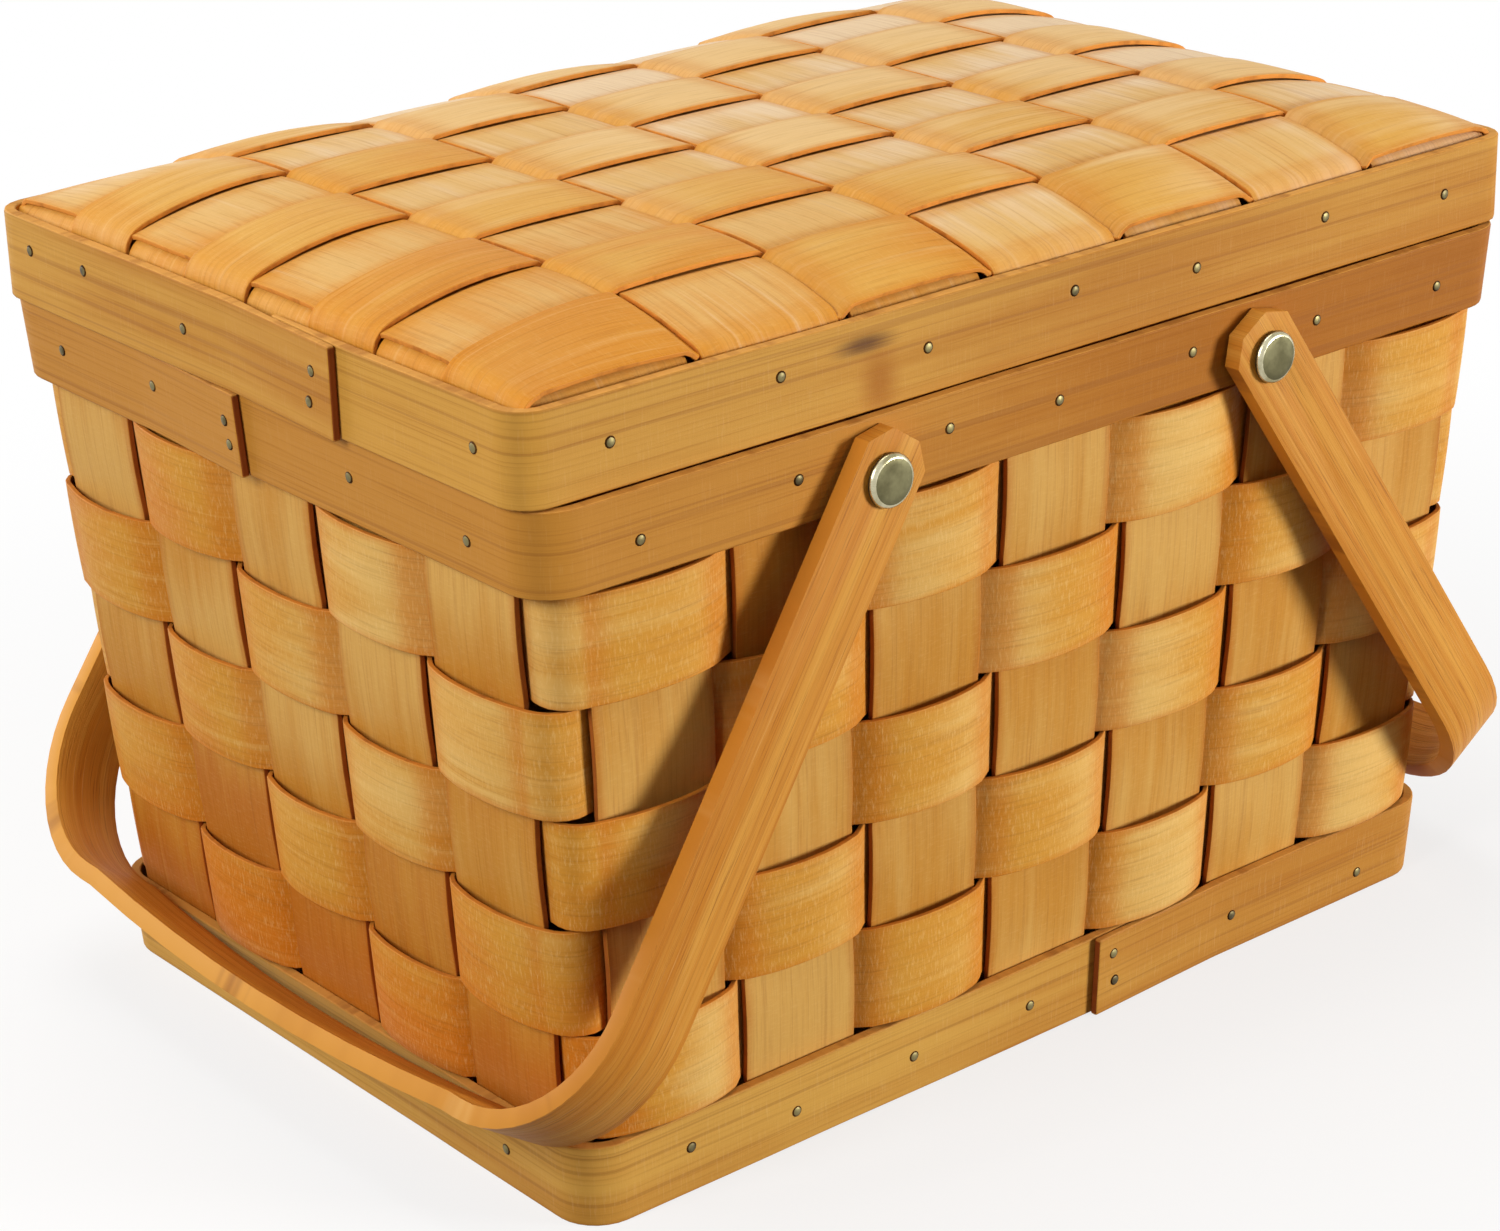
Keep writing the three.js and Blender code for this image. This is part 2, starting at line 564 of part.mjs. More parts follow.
// Long strips are counted from the back, as the weave alternates from the back left corner.
[...LID_LONG_COLUMNS].reverse().forEach((y, i) => {
  const side = (j) => ((i + j) % 2 === 1 ? 1 : -1);
  const wave = LID_CROSS_COLUMNS.flatMap((x, j) => crossing(x, LID_CROSS_WIDTH, side(j), LID_CLEAR, LID_BULGE));
  const outline = lidStripOutline(STRIP_HALF_X, LID_LONG_BEND, wave, endRoll);
  const strip = acrossY(outline, LID_LONG_WIDTH).translate(0, y, LID_PLANE);
  add(`lid_long_strip_${i + 1}`, tilt(strip, (px, py) => sideRoll(py)), WEAVER_WOOD);
});

// Handles. A U of flat strap whose arms spread a little towards a bowed bar, trimmed by its side outline
// with clipped ends, and bored for the rivets. In its own frame the rivet axis is Y at the origin and the
// bar lies below it.
const ARM_SLOPE = HANDLE_SPREAD / HANDLE_REACH;
const ARM_HALF_THICKNESS = (HANDLE_THICKNESS / 2) * Math.hypot(1, ARM_SLOPE);
const ARM_HALF_Y = RIM_HALF_Y + FIT_GAP + ARM_HALF_THICKNESS + ARM_SLOPE * HANDLE_TOP;
const BAR_HALF_Y = ARM_HALF_Y + HANDLE_SPREAD;
const BAR_BEND_Y = BAR_HALF_Y - HANDLE_BEND_RADIUS * (ARM_SLOPE + Math.hypot(1, ARM_SLOPE));

// The bar bows away from the rivets between its two bends.
function barBow() {
  const half = BAR_BEND_Y - HANDLE_THICKNESS;
  const points = [];
  for (let i = -HANDLE_BOW_STEPS; i <= HANDLE_BOW_STEPS; i += 1) {
    const share = i / HANDLE_BOW_STEPS;
    points.push({ at: share * half, off: HANDLE_BOW * (1 - share * share) });
  }
  return points;
}

function handleGeometry() {
  const half = HANDLE_WIDTH / 2;
  const foot = -HANDLE_REACH - HANDLE_BOW - HANDLE_THICKNESS;
  const span = 2 * (BAR_HALF_Y + HANDLE_THICKNESS);
  const bow = bentStrip({
    half: BAR_HALF_Y,
    slope: -ARM_SLOPE,
    rise: HANDLE_REACH + HANDLE_TOP + HANDLE_CLIP,
    thickness: HANDLE_THICKNESS,
    bend: HANDLE_BEND_RADIUS,
    steps: HANDLE_BEND_STEPS,
    wave: barBow(),
  });
  const strap = acrossX(bow, HANDLE_WIDTH).translate(0, 0, -HANDLE_REACH);
  const side = [
    new THREE.Vector2(-half, foot),
    new THREE.Vector2(half, foot),
    new THREE.Vector2(half, HANDLE_TOP - HANDLE_CLIP),
    new THREE.Vector2(half - HANDLE_CLIP, HANDLE_TOP),
    new THREE.Vector2(HANDLE_CLIP - half, HANDLE_TOP),
    new THREE.Vector2(-half, HANDLE_TOP - HANDLE_CLIP),
  ];
  const drill = new THREE.CylinderGeometry(RIVET_HOLE_RADIUS, RIVET_HOLE_RADIUS, span, ROUND_SIDES);
  const trimmed = toSolid(strap).intersect(toSolid(acrossY(side, span)));
  return toGeometry(trimmed.subtract(toSolid(drill)));
}

// The angle from straight down at which the bar's lower inner edge comes to the end wall's fullest part.
function hangingAngle() {
  const reach = HANDLE_REACH - HANDLE_THICKNESS / 2;
  const half = HANDLE_WIDTH / 2;
  const proud = 2 * FIT_GAP + Math.max(BASE_BAND_THICKNESS, WEAVER_THICKNESS + WEAVER_BULGE);
  let angle = 0;
  for (let i = 0; i < HANGING_ROUNDS; i += 1) {
    const z = RIVET_Z - reach * Math.cos(angle) - half * Math.sin(angle);
    const out = wallHalfX(z) + proud - RIVET_X;
    angle = Math.asin(out / Math.hypot(reach, half)) + Math.atan(half / reach);
  }
  return angle;
}

const HANGING = hangingAngle();
const HANDLES = [
  { name: 'left_handle', side: -1 },
  { name: 'right_handle', side: 1 },
];

HANDLES.forEach(({ name, side }) => {
  const handle = add(name, handleGeometry(), HANDLE_WOOD);
  handle.position.set(side * RIVET_X, 0, RIVET_Z);
  handle.rotation.y = -side * HANGING;
});

// Rivets: a bevelled cap and shank from outside, and a cap with a socket for the shank's end inside.
const STRAP_FACE = ARM_HALF_Y + ARM_SLOPE * RIVET_CAP_RADIUS + ARM_HALF_THICKNESS + FIT_GAP;
const BACK_CAP_FACE = wallHalfY(RIVET_Z - RIVET_CAP_RADIUS) + RIM_INNER_FACE - RIM_INNER_THICKNESS - FIT_GAP;
const SHANK_END = BACK_CAP_FACE - BACK_CAP_SOCKET + FIT_GAP;

function revolve(points) {
  return new THREE.LatheGeometry(points.map(([r, y]) => new THREE.Vector2(r, y)), ROUND_SIDES);
}

function rivetGeometry() {
  return revolve([
    [0, SHANK_END],
    [RIVET_SHANK_RADIUS, SHANK_END],
    [RIVET_SHANK_RADIUS, STRAP_FACE],
    [RIVET_CAP_RADIUS, STRAP_FACE],
    [RIVET_CAP_RADIUS, STRAP_FACE + RIVET_CAP_THICKNESS - RIVET_CAP_BEVEL],
    [RIVET_CAP_RADIUS - RIVET_CAP_BEVEL, STRAP_FACE + RIVET_CAP_THICKNESS],
    [0, STRAP_FACE + RIVET_CAP_THICKNESS],
  ]);
}

function backCapGeometry() {
  return revolve([
    [0, BACK_CAP_FACE - BACK_CAP_THICKNESS],
    [RIVET_CAP_RADIUS - RIVET_CAP_BEVEL, BACK_CAP_FACE - BACK_CAP_THICKNESS],
    [RIVET_CAP_RADIUS, BACK_CAP_FACE - BACK_CAP_THICKNESS + RIVET_CAP_BEVEL],
    [RIVET_CAP_RADIUS, BACK_CAP_FACE],
    [RIVET_HOLE_RADIUS, BACK_CAP_FACE],
    [RIVET_HOLE_RADIUS, BACK_CAP_FACE - BACK_CAP_SOCKET],
    [0, BACK_CAP_FACE - BACK_CAP_SOCKET],
  ]);
}

[['left', -1], ['right', 1]].forEach(([end, sign]) => {
  [['front', Math.PI], ['back', 0]].forEach(([face, turn]) => {
    const rivet = add(`rivet_${end}_${face}`, rivetGeometry(), RIVET_BRASS);
    const cap = add(`rivet_cap_${end}_${face}`, backCapGeometry(), RIVET_BRASS);
    [rivet, cap].forEach((piece) => {
      piece.position.set(sign * RIVET_X, 0, RIVET_Z);
      piece.rotation.z = turn;
    });
  });
});

export default basket;
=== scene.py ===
import math

import bmesh
import bpy
from mathutils import Matrix, Vector, noise


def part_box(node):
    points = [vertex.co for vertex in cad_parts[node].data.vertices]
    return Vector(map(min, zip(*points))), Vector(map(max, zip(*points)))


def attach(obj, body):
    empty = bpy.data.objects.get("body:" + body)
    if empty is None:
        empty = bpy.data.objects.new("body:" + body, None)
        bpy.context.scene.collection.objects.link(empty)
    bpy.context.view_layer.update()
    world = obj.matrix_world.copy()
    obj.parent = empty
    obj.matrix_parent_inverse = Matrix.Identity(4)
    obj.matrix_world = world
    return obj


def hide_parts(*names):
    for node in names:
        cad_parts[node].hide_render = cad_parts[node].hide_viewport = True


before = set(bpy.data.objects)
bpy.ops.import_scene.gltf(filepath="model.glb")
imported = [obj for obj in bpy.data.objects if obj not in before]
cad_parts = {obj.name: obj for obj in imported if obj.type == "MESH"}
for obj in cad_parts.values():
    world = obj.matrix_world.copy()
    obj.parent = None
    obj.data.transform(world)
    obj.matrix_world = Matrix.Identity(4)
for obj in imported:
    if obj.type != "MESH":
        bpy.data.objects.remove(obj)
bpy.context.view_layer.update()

# Cross stakes: seven wide splints of peeled poplar, each one piece from the top of the front wall, under
# the bottom and up the back wall. They are stained honey, stand a few millimetres apart, and are nailed
# between the rim bands. Sizes are in millimetres, and each piece is placed in metres.
MM = 0.001
BASE_HALF = (129.35, 91.25)
BODY_TOP = 168
MOUTH_SPREAD = (11.25, 8.55)
FLARE = [out / BODY_TOP for out in MOUTH_SPREAD]
FIT_GAP = 0.3
STAKE_WIDTH = 31
STAKE_THICKNESS = 1.4
STAKE_TOP = BODY_TOP - FIT_GAP
STAKE_BEND = 6
STAKE_BOW = 0.45
STAKE_WAVER = 0.25
# The stakes' swell only sets a faint, even painted shade over their faces.
STAKE_SWELL = 0.7
BOTTOM_PLANE = 4.4
BOTTOM_REACH = 78
BOTTOM_STEP = 6
CROSS_COUNT = 7
CROSS_PITCH = 35.2833
CROSS_COLUMNS = [(j - (CROSS_COUNT - 1) / 2) * CROSS_PITCH for j in range(CROSS_COUNT)]
CROSS_SEED = 1
CROSS_STAKE_STEPS = 150
ROW_COUNT = 5
ROW_PITCH = 25.64
WEAVE_FOOT = 20.3
ROW_HEIGHTS = [WEAVE_FOOT + (ROW_COUNT - 0.5 - row) * ROW_PITCH for row in range(ROW_COUNT)]
WALL_STEPS = 40
BEND_STEPS = 8
CELLS_ACROSS = 6
EASED_EDGE = 0.3
SHARP_ANGLE = math.radians(40)
GRAIN_SHIFT = 3.17
STAIN_LEVEL = 0.04
STAIN_DRIFT = 0.5
STAIN_SEED = 70
WOOD_GLOSS = 0.12


def wall(z):
    """Half the length and half the width over the stakes at a height."""
    return BASE_HALF[0] + FLARE[0] * z, BASE_HALF[1] + FLARE[1] * z


def wander(seed, along, pace):
    """A slow random drift along a strip, from -1 to 1, of each seed's own."""
    return noise.noise(Vector((along * pace, seed * 7.31, seed * 1.7)))


def patchy(seed, along, pace):
    """How deep the stain is along a strip, which took it unevenly."""
    return STAIN_LEVEL + STAIN_DRIFT * wander(seed + STAIN_SEED, along, pace)


def follow(line, share):
    """The values of a line of points at a share of its length."""
    lengths, points = line
    at = share * lengths[-1]
    low, high = 0, len(lengths) - 1
    while high - low > 1:
        middle = (low + high) // 2
        if lengths[middle] <= at:
            low = middle
        else:
            high = middle
    part = (at - lengths[low]) / max(lengths[high] - lengths[low], 1e-9)
    return [a + (b - a) * part for a, b in zip(points[low], points[high])]


def measured(points):
    """A line of points with the length run up to each; the first two values are its place."""
    lengths = [0.0]
    for a, b in zip(points, points[1:]):
        lengths.append(lengths[-1] + math.hypot(b[0] - a[0], b[1] - a[1]))
    return lengths, points


def splint(name, steps, length, width, thickness, place, finishes, seed, rounding=EASED_EDGE):
    """A flat strip bent into place: a grid whose points place() puts where the strip runs. place() also says
    how far the strip springs out there, its share of the thickness, and how deep its stain and painted shade
    are."""
    bm = bmesh.new()
    bmesh.ops.create_grid(bm, x_segments=steps, y_segments=CELLS_ACROSS, size=0.5)
    grain = bm.loops.layers.uv.new("grain")
    edge = bm.verts.layers.float.new("edge")
    # The swell also sets the finish's painted shade, which is deepest where the strip is tucked away.
    swell = bm.verts.layers.float.new("swell")
    stain_and_shade = bm.verts.layers.float.new("stain_and_shade")
    pare = bm.verts.layers.deform.verify()
    for face in bm.faces:
        face.smooth = True
        for loop in face.loops:
            along, across, _ = loop.vert.co
            loop[grain].uv = ((along + 0.5) * length * MM + seed * GRAIN_SHIFT, across * width * MM)
    for vert in bm.verts:
        along, across = vert.co.x + 0.5, 2 * vert.co.y
        spot, raised, share, depth = place(along, across)
        vert[edge] = abs(across)
        vert[swell] = raised
        vert[stain_and_shade] = depth
        vert[pare][0] = share
        vert.co = Vector(spot) * MM
    mesh = bpy.data.meshes.new(name)
    bm.to_mesh(mesh)
    bm.free()
    piece = bpy.data.objects.new(name, mesh)
    bpy.context.scene.collection.objects.link(piece)
    piece.vertex_groups.new(name="pare")
    for finish in finishes:
        mesh.materials.append(finish)
    shell = piece.modifiers.new("thickness", "SOLIDIFY")
    shell.thickness = thickness * MM
    shell.offset = 0
    shell.use_even_offset = True
    shell.vertex_group = "pare"
    shell.material_offset_rim = 1
    eased = piece.modifiers.new("eased_edges", "BEVEL")
    eased.width = rounding * MM
    eased.segments = 2
    eased.limit_method = "ANGLE"
    eased.angle_limit = SHARP_ANGLE
    eased.harden_normals = True
    return piece


def stain(code):
    """A colour written as on a colour card, made linear for the shader."""
    parts = [int(code[i:i + 2], 16) / 255 for i in (0, 2, 4)]
    return (*[p / 12.92 if p <= 0.04045 else ((p + 0.055) / 1.055) ** 2.4 for p in parts], 1)


def new_finish(name):
    """A new material with its node tree and its shader."""
    material = bpy.data.materials.new(name)
    material.use_nodes = True
    tree = material.node_tree
    return material, tree, tree.nodes["Principled BSDF"]


def node(tree, kind, links=(), **settings):
    """A shader node; links are (input, socket) pairs, and settings are its inputs' or its own values."""
    made = tree.nodes.new("ShaderNode" + kind)
    for key, value in settings.items():
        label = key.replace("_", " ").title()
        if label in made.inputs:
            made.inputs[label].default_value = value
        else:
            setattr(made, key, value)
    for where, socket in links:
        tree.links.new(socket, made.inputs[where])
    return made


def feed(tree, made, values):
    """Links or sets a node's inputs, given by their numbers."""
    for index, value in values:
        if isinstance(value, bpy.types.NodeSocket):
            tree.links.new(value, made.inputs[index])
        else:
            made.inputs[index].default_value = value


def grain_of(tree):
    """Places along and across the strip."""
    return node(tree, "UVMap", uv_map="grain").outputs["UV"]


def carried(tree, name):
    """A value that the mesh carries at its points."""
    return node(tree, "Attribute", attribute_name=name).outputs["Fac"]


def figure(tree, coordinates, scale, detail=4.0, roughness=0.6, distortion=0.0):
    """Noise drawn out along the strip: scale is how often it changes in a metre along and across."""
    stretched = node(tree, "Mapping", [("Vector", coordinates)])
    stretched.inputs["Scale"].default_value = (*scale, 1)[:3]
    made = node(tree, "TexNoise", [("Vector", stretched.outputs[0])], scale=1.0, detail=detail,
                roughness=roughness, distortion=distortion)
    return made.outputs["Fac"]


def spread(tree, socket, low, high, to_low=0.0, to_high=1.0):
    """A value eased from one range to another."""
    made = node(tree, "MapRange", [("Value", socket)])
    made.interpolation_type = "SMOOTHSTEP"
    for label, value in (("From Min", low), ("From Max", high), ("To Min", to_low), ("To Max", to_high)):
        made.inputs[label].default_value = value
    return made.outputs["Result"]


def sums(tree, how, a, b):
    """Two values added, multiplied or compared."""
    made = node(tree, "Math", operation=how)
    feed(tree, made, enumerate((a, b)))
    return made.outputs[0]


def mixture(tree, a, a_share, b, b_share):
    """Two patterns added in given shares."""
    return sums(tree, "ADD", sums(tree, "MULTIPLY", a, a_share), sums(tree, "MULTIPLY", b, b_share))


def blend_colours(tree, share, a, b):
    """Some of one colour over another."""
    made = node(tree, "Mix", data_type="RGBA")
    feed(tree, made, ((0, share), (6, a), (7, b)))
    return made.outputs[2]


def tinted(tree, colour, layers):
    """A colour under layers of other shades. A layer has its pattern, where that is low and high, how much
    of its shade shows at low and at high, and the shade."""
    for pattern, low, high, at_low, at_high, shade in layers:
        colour = blend_colours(tree, spread(tree, pattern, low, high, at_low, at_high), colour, shade)
    return colour


def dress(tree, shader, colour, roughness, height, strength, depth):
    """Gives a finish its colour, its roughness, and bumps of a depth in metres."""
    tree.links.new(colour, shader.inputs["Base Color"])
    tree.links.new(roughness, shader.inputs["Roughness"])
    bump = node(tree, "Bump", [("Height", height)], strength=strength, distance=depth)
    tree.links.new(bump.outputs[0], shader.inputs["Normal"])


def splint_finish(name, pale, honey, amber, fleck):
    """Stained splint: soft figure and fine fibres along the strip, and crinkles across it from the knife.
    The stain is deeper at its edges and in places along it. Painted shade deepens it where the strip is
    tucked under a crossing or behind a band, and low on the left end."""
    material, tree, shader = new_finish(name)
    grain = grain_of(tree)
    fibre = figure(tree, grain, (34, 1300), detail=5, roughness=0.75)
    rings = figure(tree, grain, (6, 80), detail=3, distortion=1.0)
    blotch = figure(tree, grain, (30, 70), detail=5, roughness=0.65)
    crinkle = figure(tree, grain, (1900, 330), detail=4, roughness=0.75)
    streaks = figure(tree, grain, (9, 330), detail=6, roughness=0.72)
    depth = sums(tree, "ADD", mixture(tree, rings, 0.7, blotch, 0.3), carried(tree, "stain_and_shade"))
    at_edge = sums(tree, "ADD", carried(tree, "edge"), sums(tree, "MULTIPLY", blotch, 0.3))
    colour = tinted(tree, pale, ((depth, 0.32, 0.72, 0, 1, honey),
                                 (depth, 0.66, 1.15, 0, 0.8, amber),
                                 (at_edge, 0.95, 1.22, 0, 0.7, amber),
                                 # painted shade: deeper amber where the strip is tucked under a crossing, at
                                 # its bends and behind a band
                                 (carried(tree, "swell"), 0, 0.8, 0.6, 0, amber),
                                 (fibre, 0.47, 0.72, 0, 0.3, stain("8f4a12")),
                                 (streaks, 0.52, 0.74, 0, 0.26, stain("94561c")),
                                 (streaks, 0.3, 0.46, 0.3, 0, pale),
                                 (crinkle, 0.48, 0.7, 0, fleck, stain("f0cd88"))))
    dress(tree, shader, colour, spread(tree, fibre, 0.3, 0.7, 0.44, 0.6),
          mixture(tree, fibre, 0.7, crinkle, 2 * fleck), 0.3, 0.0004)
    shader.inputs["Specular IOR Level"].default_value = WOOD_GLOSS
    return material


def cut_edge_finish(name, long_edge, end_grain):
    """The cut edges of a strip: its long edges, and its end grain, where most stain soaks in."""
    material, tree, shader = new_finish(name)
    mottle = figure(tree, grain_of(tree), (150, 150), detail=4)
    colour = tinted(tree, end_grain, ((carried(tree, "edge"), 0.93, 0.99, 0, 1, long_edge),
                                      (mottle, 0.45, 0.7, 0, 0.45, stain("7a3a10"))))
    dress(tree, shader, colour, spread(tree, mottle, 0.3, 0.7, 0.64, 0.78), mottle, 0.3, 0.0003)
    shader.inputs["Specular IOR Level"].default_value = 0.2
    return material


def settle(piece, body, slot, *nodes):
    """Says what a piece moves with and which solids it stands for. slot, the finish it would take, is not
    used.
    """
    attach(piece, body)
    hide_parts(*nodes)


def stake_line(half, flare):
    """A stake's middle line up each of its two walls, in its own plane, from the bends at the bottom."""
    inset = STAKE_THICKNESS / 2 * math.hypot(1, flare)
    tilt = math.atan(flare)
    middle_z = BOTTOM_PLANE + STAKE_BEND
    middle_x = half + flare * middle_z - inset - STAKE_BEND * math.hypot(1, flare)
    right = []
    for i in range(BEND_STEPS + 1):
        angle = -math.pi / 2 + (math.pi / 2 - tilt) * i / BEND_STEPS
        right.append((middle_x + STAKE_BEND * math.cos(angle), middle_z + STAKE_BEND * math.sin(angle)))
    foot = right[-1][1]
    for i in range(1, WALL_STEPS + 1):
        z = foot + (STAKE_TOP - foot) * i / WALL_STEPS
        right.append((half + flare * z - inset, z))
    left = [(-x, z) for x, z in reversed(right)]
    return left, right


def row_bow(z):
    """How far a stake bows out at a height: most in the middle of each row of weaving."""
    for middle in ROW_HEIGHTS:
        part = (z - middle) / ROW_PITCH
        if abs(part) <= 0.5:
            return STAKE_BOW * math.cos(math.pi * part)
    return 0.0


stake_face = splint_finish("stake_splint", stain("d3a354"), stain("c48832"), stain("b36416"), 0.1)
stake_edge = cut_edge_finish("stake_cut_edge", stain("9a541a"), stain("8a4614"))
left, right = stake_line(BASE_HALF[1], FLARE[1])
bottom = [(y, BOTTOM_PLANE) for y in range(-BOTTOM_REACH, BOTTOM_REACH + 1, BOTTOM_STEP)]
line = measured(left + bottom + right)

for j, column in enumerate(CROSS_COLUMNS):
    seed = CROSS_SEED + j

    def cross_stake_place(along, across):
        y, z = follow(line, along)
        if z > BOTTOM_PLANE + STAKE_BEND:
            y += math.copysign(row_bow(z), y)
        x = column * wall(z)[0] / BASE_HALF[0]
        half = STAKE_WIDTH / 2 + STAKE_WAVER * wander(seed, along, pace=9)
        return (x + across * half, y, z), STAKE_SWELL, 1, patchy(seed, along, pace=11)

    settle(splint(f"cross_splint_{j + 1}", CROSS_STAKE_STEPS, line[0][-1], STAKE_WIDTH, STAKE_THICKNESS,
                  cross_stake_place, (stake_face, stake_edge), seed),
           "basket", "stake_wood", f"cross_stake_{j + 1}")

# Long stakes: five more of the same splints, from the left end, under the bottom to the right end. They
# go over one cross stake and under the next, which makes the woven bottom.
LONG_COUNT = 5
LONG_PITCH = 33.875
LONG_COLUMNS = [(k - (LONG_COUNT - 1) / 2) * LONG_PITCH for k in range(LONG_COUNT)]
LONG_SEED = 11
LONG_STAKE_STEPS = 190
STAKE_CLEAR = 1.7
CELL_MARGIN = 0.4
STAKE_HALF_CELL = STAKE_WIDTH / 2 + CELL_MARGIN
BOTTOM_BULGE = 0.8
BOTTOM_SAMPLES = 5
FOOT_EASE = 20
FOOT_CLEAR = 4
FOOT_SHADE_TOP = 85
FOOT_SHADE_FROM = 100
FOOT_SHADE_FADE = 25


def foot_shade(x, z):
    """How much painted shade darkens the wall low on the left end, where the left handle keeps it in shade.
    """
    low = max(0, 1 - z / FOOT_SHADE_TOP)
    return low * max(0, min(1, (-x - FOOT_SHADE_FROM) / FOOT_SHADE_FADE))


def lowered(points, by):
    """Moves a wall's foot up or down to meet the woven bottom."""
    return [(x, z + by * max(0, 1 - (z - BOTTOM_PLANE) / FOOT_EASE)) for x, z in points]


left, right = stake_line(BASE_HALF[0], FLARE[0])

for k, column in enumerate(LONG_COLUMNS):
    seed = LONG_SEED + k
    sides = [-1 if (j + k) % 2 == 0 else 1 for j in range(CROSS_COUNT)]
    bottom = []
    for side, middle in zip(sides, CROSS_COLUMNS):
        for i in range(-BOTTOM_SAMPLES, BOTTOM_SAMPLES + 1):
            share = i / BOTTOM_SAMPLES
            z = BOTTOM_PLANE + side * (STAKE_CLEAR + BOTTOM_BULGE * (1 - share * share))
            bottom.append((middle + share * STAKE_HALF_CELL, z))
    line = measured(lowered(left, sides[0] * STAKE_CLEAR) + bottom + lowered(right, sides[-1] * STAKE_CLEAR))

    def long_stake_place(along, across):
        x, z = follow(line, along)
        if z > BOTTOM_PLANE + STAKE_BEND + FOOT_CLEAR:
            x += math.copysign(row_bow(z), x)
        y = column * wall(z)[1] / BASE_HALF[1]
        half = STAKE_WIDTH / 2 + STAKE_WAVER * wander(seed, along, pace=9)
        # depth is the stake's stain plus painted shade low on the left end.
        depth = patchy(seed, along, pace=13) + foot_shade(x, z)
        return (x, y + across * half, z), STAKE_SWELL, 1, depth

    settle(splint(f"long_splint_{k + 1}", LONG_STAKE_STEPS, line[0][-1], STAKE_WIDTH, STAKE_THICKNESS,
                  long_stake_place, (stake_face, stake_edge), seed),
           "basket", "stake_wood", f"long_stake_{k + 1}")

# Weavers: five hoops of thinner splint, laid from the rim down. Each goes outside one stake and inside
# the next all round, springs out in between, and has its two ends tucked behind a stake of the back wall.
WEAVER_WIDTH = 25
WEAVER_THICKNESS = 1.2
WEAVER_CLEAR = 1.6
WEAVER_BULGE = 2.7
WEAVER_UNEVEN = 0.16
WEAVER_HALF_CELL = 15.9
WEAVER_TUCK = 4
WEAVER_LAP = 1.5
WEAVER_WAVER = 0.35
WEAVER_CUP = 0.0022
WEAVER_SEED = 21
WEAVER_EDGE_SEED = 41
WEAVER_STEPS = 420
CELL_SAMPLES = 10
SPRING_CURVE = 2.2
CORNER_RADIUS = 7.3
CORNER_SWELL = 0.55
FRONT, RIGHT, BACK, LEFT = range(4)
SIDES = ((1, 0, 0, -1), (0, 1, 1, 0), (-1, 0, 0, 1), (0, -1, -1, 0))
FIRST_CELL = (0, CROSS_COUNT, CROSS_COUNT + LONG_COUNT, 2 * CROSS_COUNT + LONG_COUNT)


def sprung(share):
    """How far a strip springs out in a cell of the weave: 1 in its middle, and 0 at its ends, -1 and 1."""
    return 1 - abs(share) ** SPRING_CURVE


def leaned(z, middle):
    """How much larger the walls are at one height than at another, in length and in width."""
    return [size / at_middle for size, at_middle in zip(wall(z), wall(middle))]


def on_side(side, half, at, off):
    """A point off a side of the basket, by its distance along the side from the side's middle. SIDES has each
    side's direction along, anticlockwise from above, and its direction outwards."""
    tx, ty, nx, ny = SIDES[side % 4]
    away = half[1 - side % 2] + off
    return tx * at + nx * away, ty * at + ny * away


def round_corner(side, half, radius, off_from, off_to, steps=BEND_STEPS):
    """The round corner after a side, as points whose offset changes from one value to another."""
    _, _, ax, ay = SIDES[side % 4]
    _, _, bx, by = SIDES[(side + 1) % 4]
    points = []
    for i in range(steps + 1):
        share = i / steps
        c, s = math.cos(share * math.pi / 2), math.sin(share * math.pi / 2)
        nx, ny = ax * c + bx * s, ay * c + by * s
        reach = radius + off_from + (off_to - off_from) * share
        x = (ax + bx) * (half[0] - radius) + nx * reach
        y = (ay + by) * (half[1] - radius) + ny * reach
        points.append((x, y))
    return points


def weaver_line(row, z):
    """The weaver's middle line with its swell: x, y and 0 where it is tucked to 1 where it springs out."""
    outer = wall(z)
    half = (outer[0] - STAKE_THICKNESS / 2, outer[1] - STAKE_THICKNESS / 2)
    columns = ([c * outer[0] / BASE_HALF[0] for c in CROSS_COLUMNS],
               [c * outer[1] / BASE_HALF[1] for c in LONG_COLUMNS])

    def face(side, j):
        """1 where the weaver is outside a stake and -1 where it is inside, with the stakes counted round."""
        return 1 if (FIRST_CELL[side % 4] + j + row) % 2 == 0 else -1

    def cell(side, j, low=-1.0, high=1.0, shift=0.0):
        """The weaver's run over or under one stake, or a part of it."""
        points = []
        spring = WEAVER_BULGE * (1 + WEAVER_UNEVEN * wander(row * 31 + side * 7 + j, 0.4, pace=3))
        for i in range(CELL_SAMPLES + 1):
            share = low + (high - low) * i / CELL_SAMPLES
            raised = sprung(share)
            off = face(side, j) * (WEAVER_CLEAR + spring * raised) + shift
            x, y = on_side(side, half, columns[side % 2][j] + share * WEAVER_HALF_CELL, off)
            points.append((x, y, raised))
        return points

    tucked = 3 if face(BACK, 3) < 0 else 2
    free = 1 - WEAVER_TUCK / WEAVER_HALF_CELL
    line = cell(BACK, tucked, low=-free)
    for turn in range(5):
        side = BACK + turn
        count = len(columns[side % 2])
        for j in range(tucked + 1 if turn == 0 else 0, tucked if turn == 4 else count):
            line += cell(side, j)
        if turn < 4:
            before = face(side, count - 1) * WEAVER_CLEAR
            corner = round_corner(side, half, CORNER_RADIUS, before, -before)
            line += [(x, y, CORNER_SWELL) for x, y in corner]
    return measured(line + cell(BACK, tucked, high=free, shift=-WEAVER_LAP))


weaver_face = splint_finish("weaver_splint", stain("e2b667"), stain("d39535"), stain("cb7519"), 0.34)
weaver_edge = cut_edge_finish("weaver_cut_edge", stain("c27826"), stain("9a5317"))

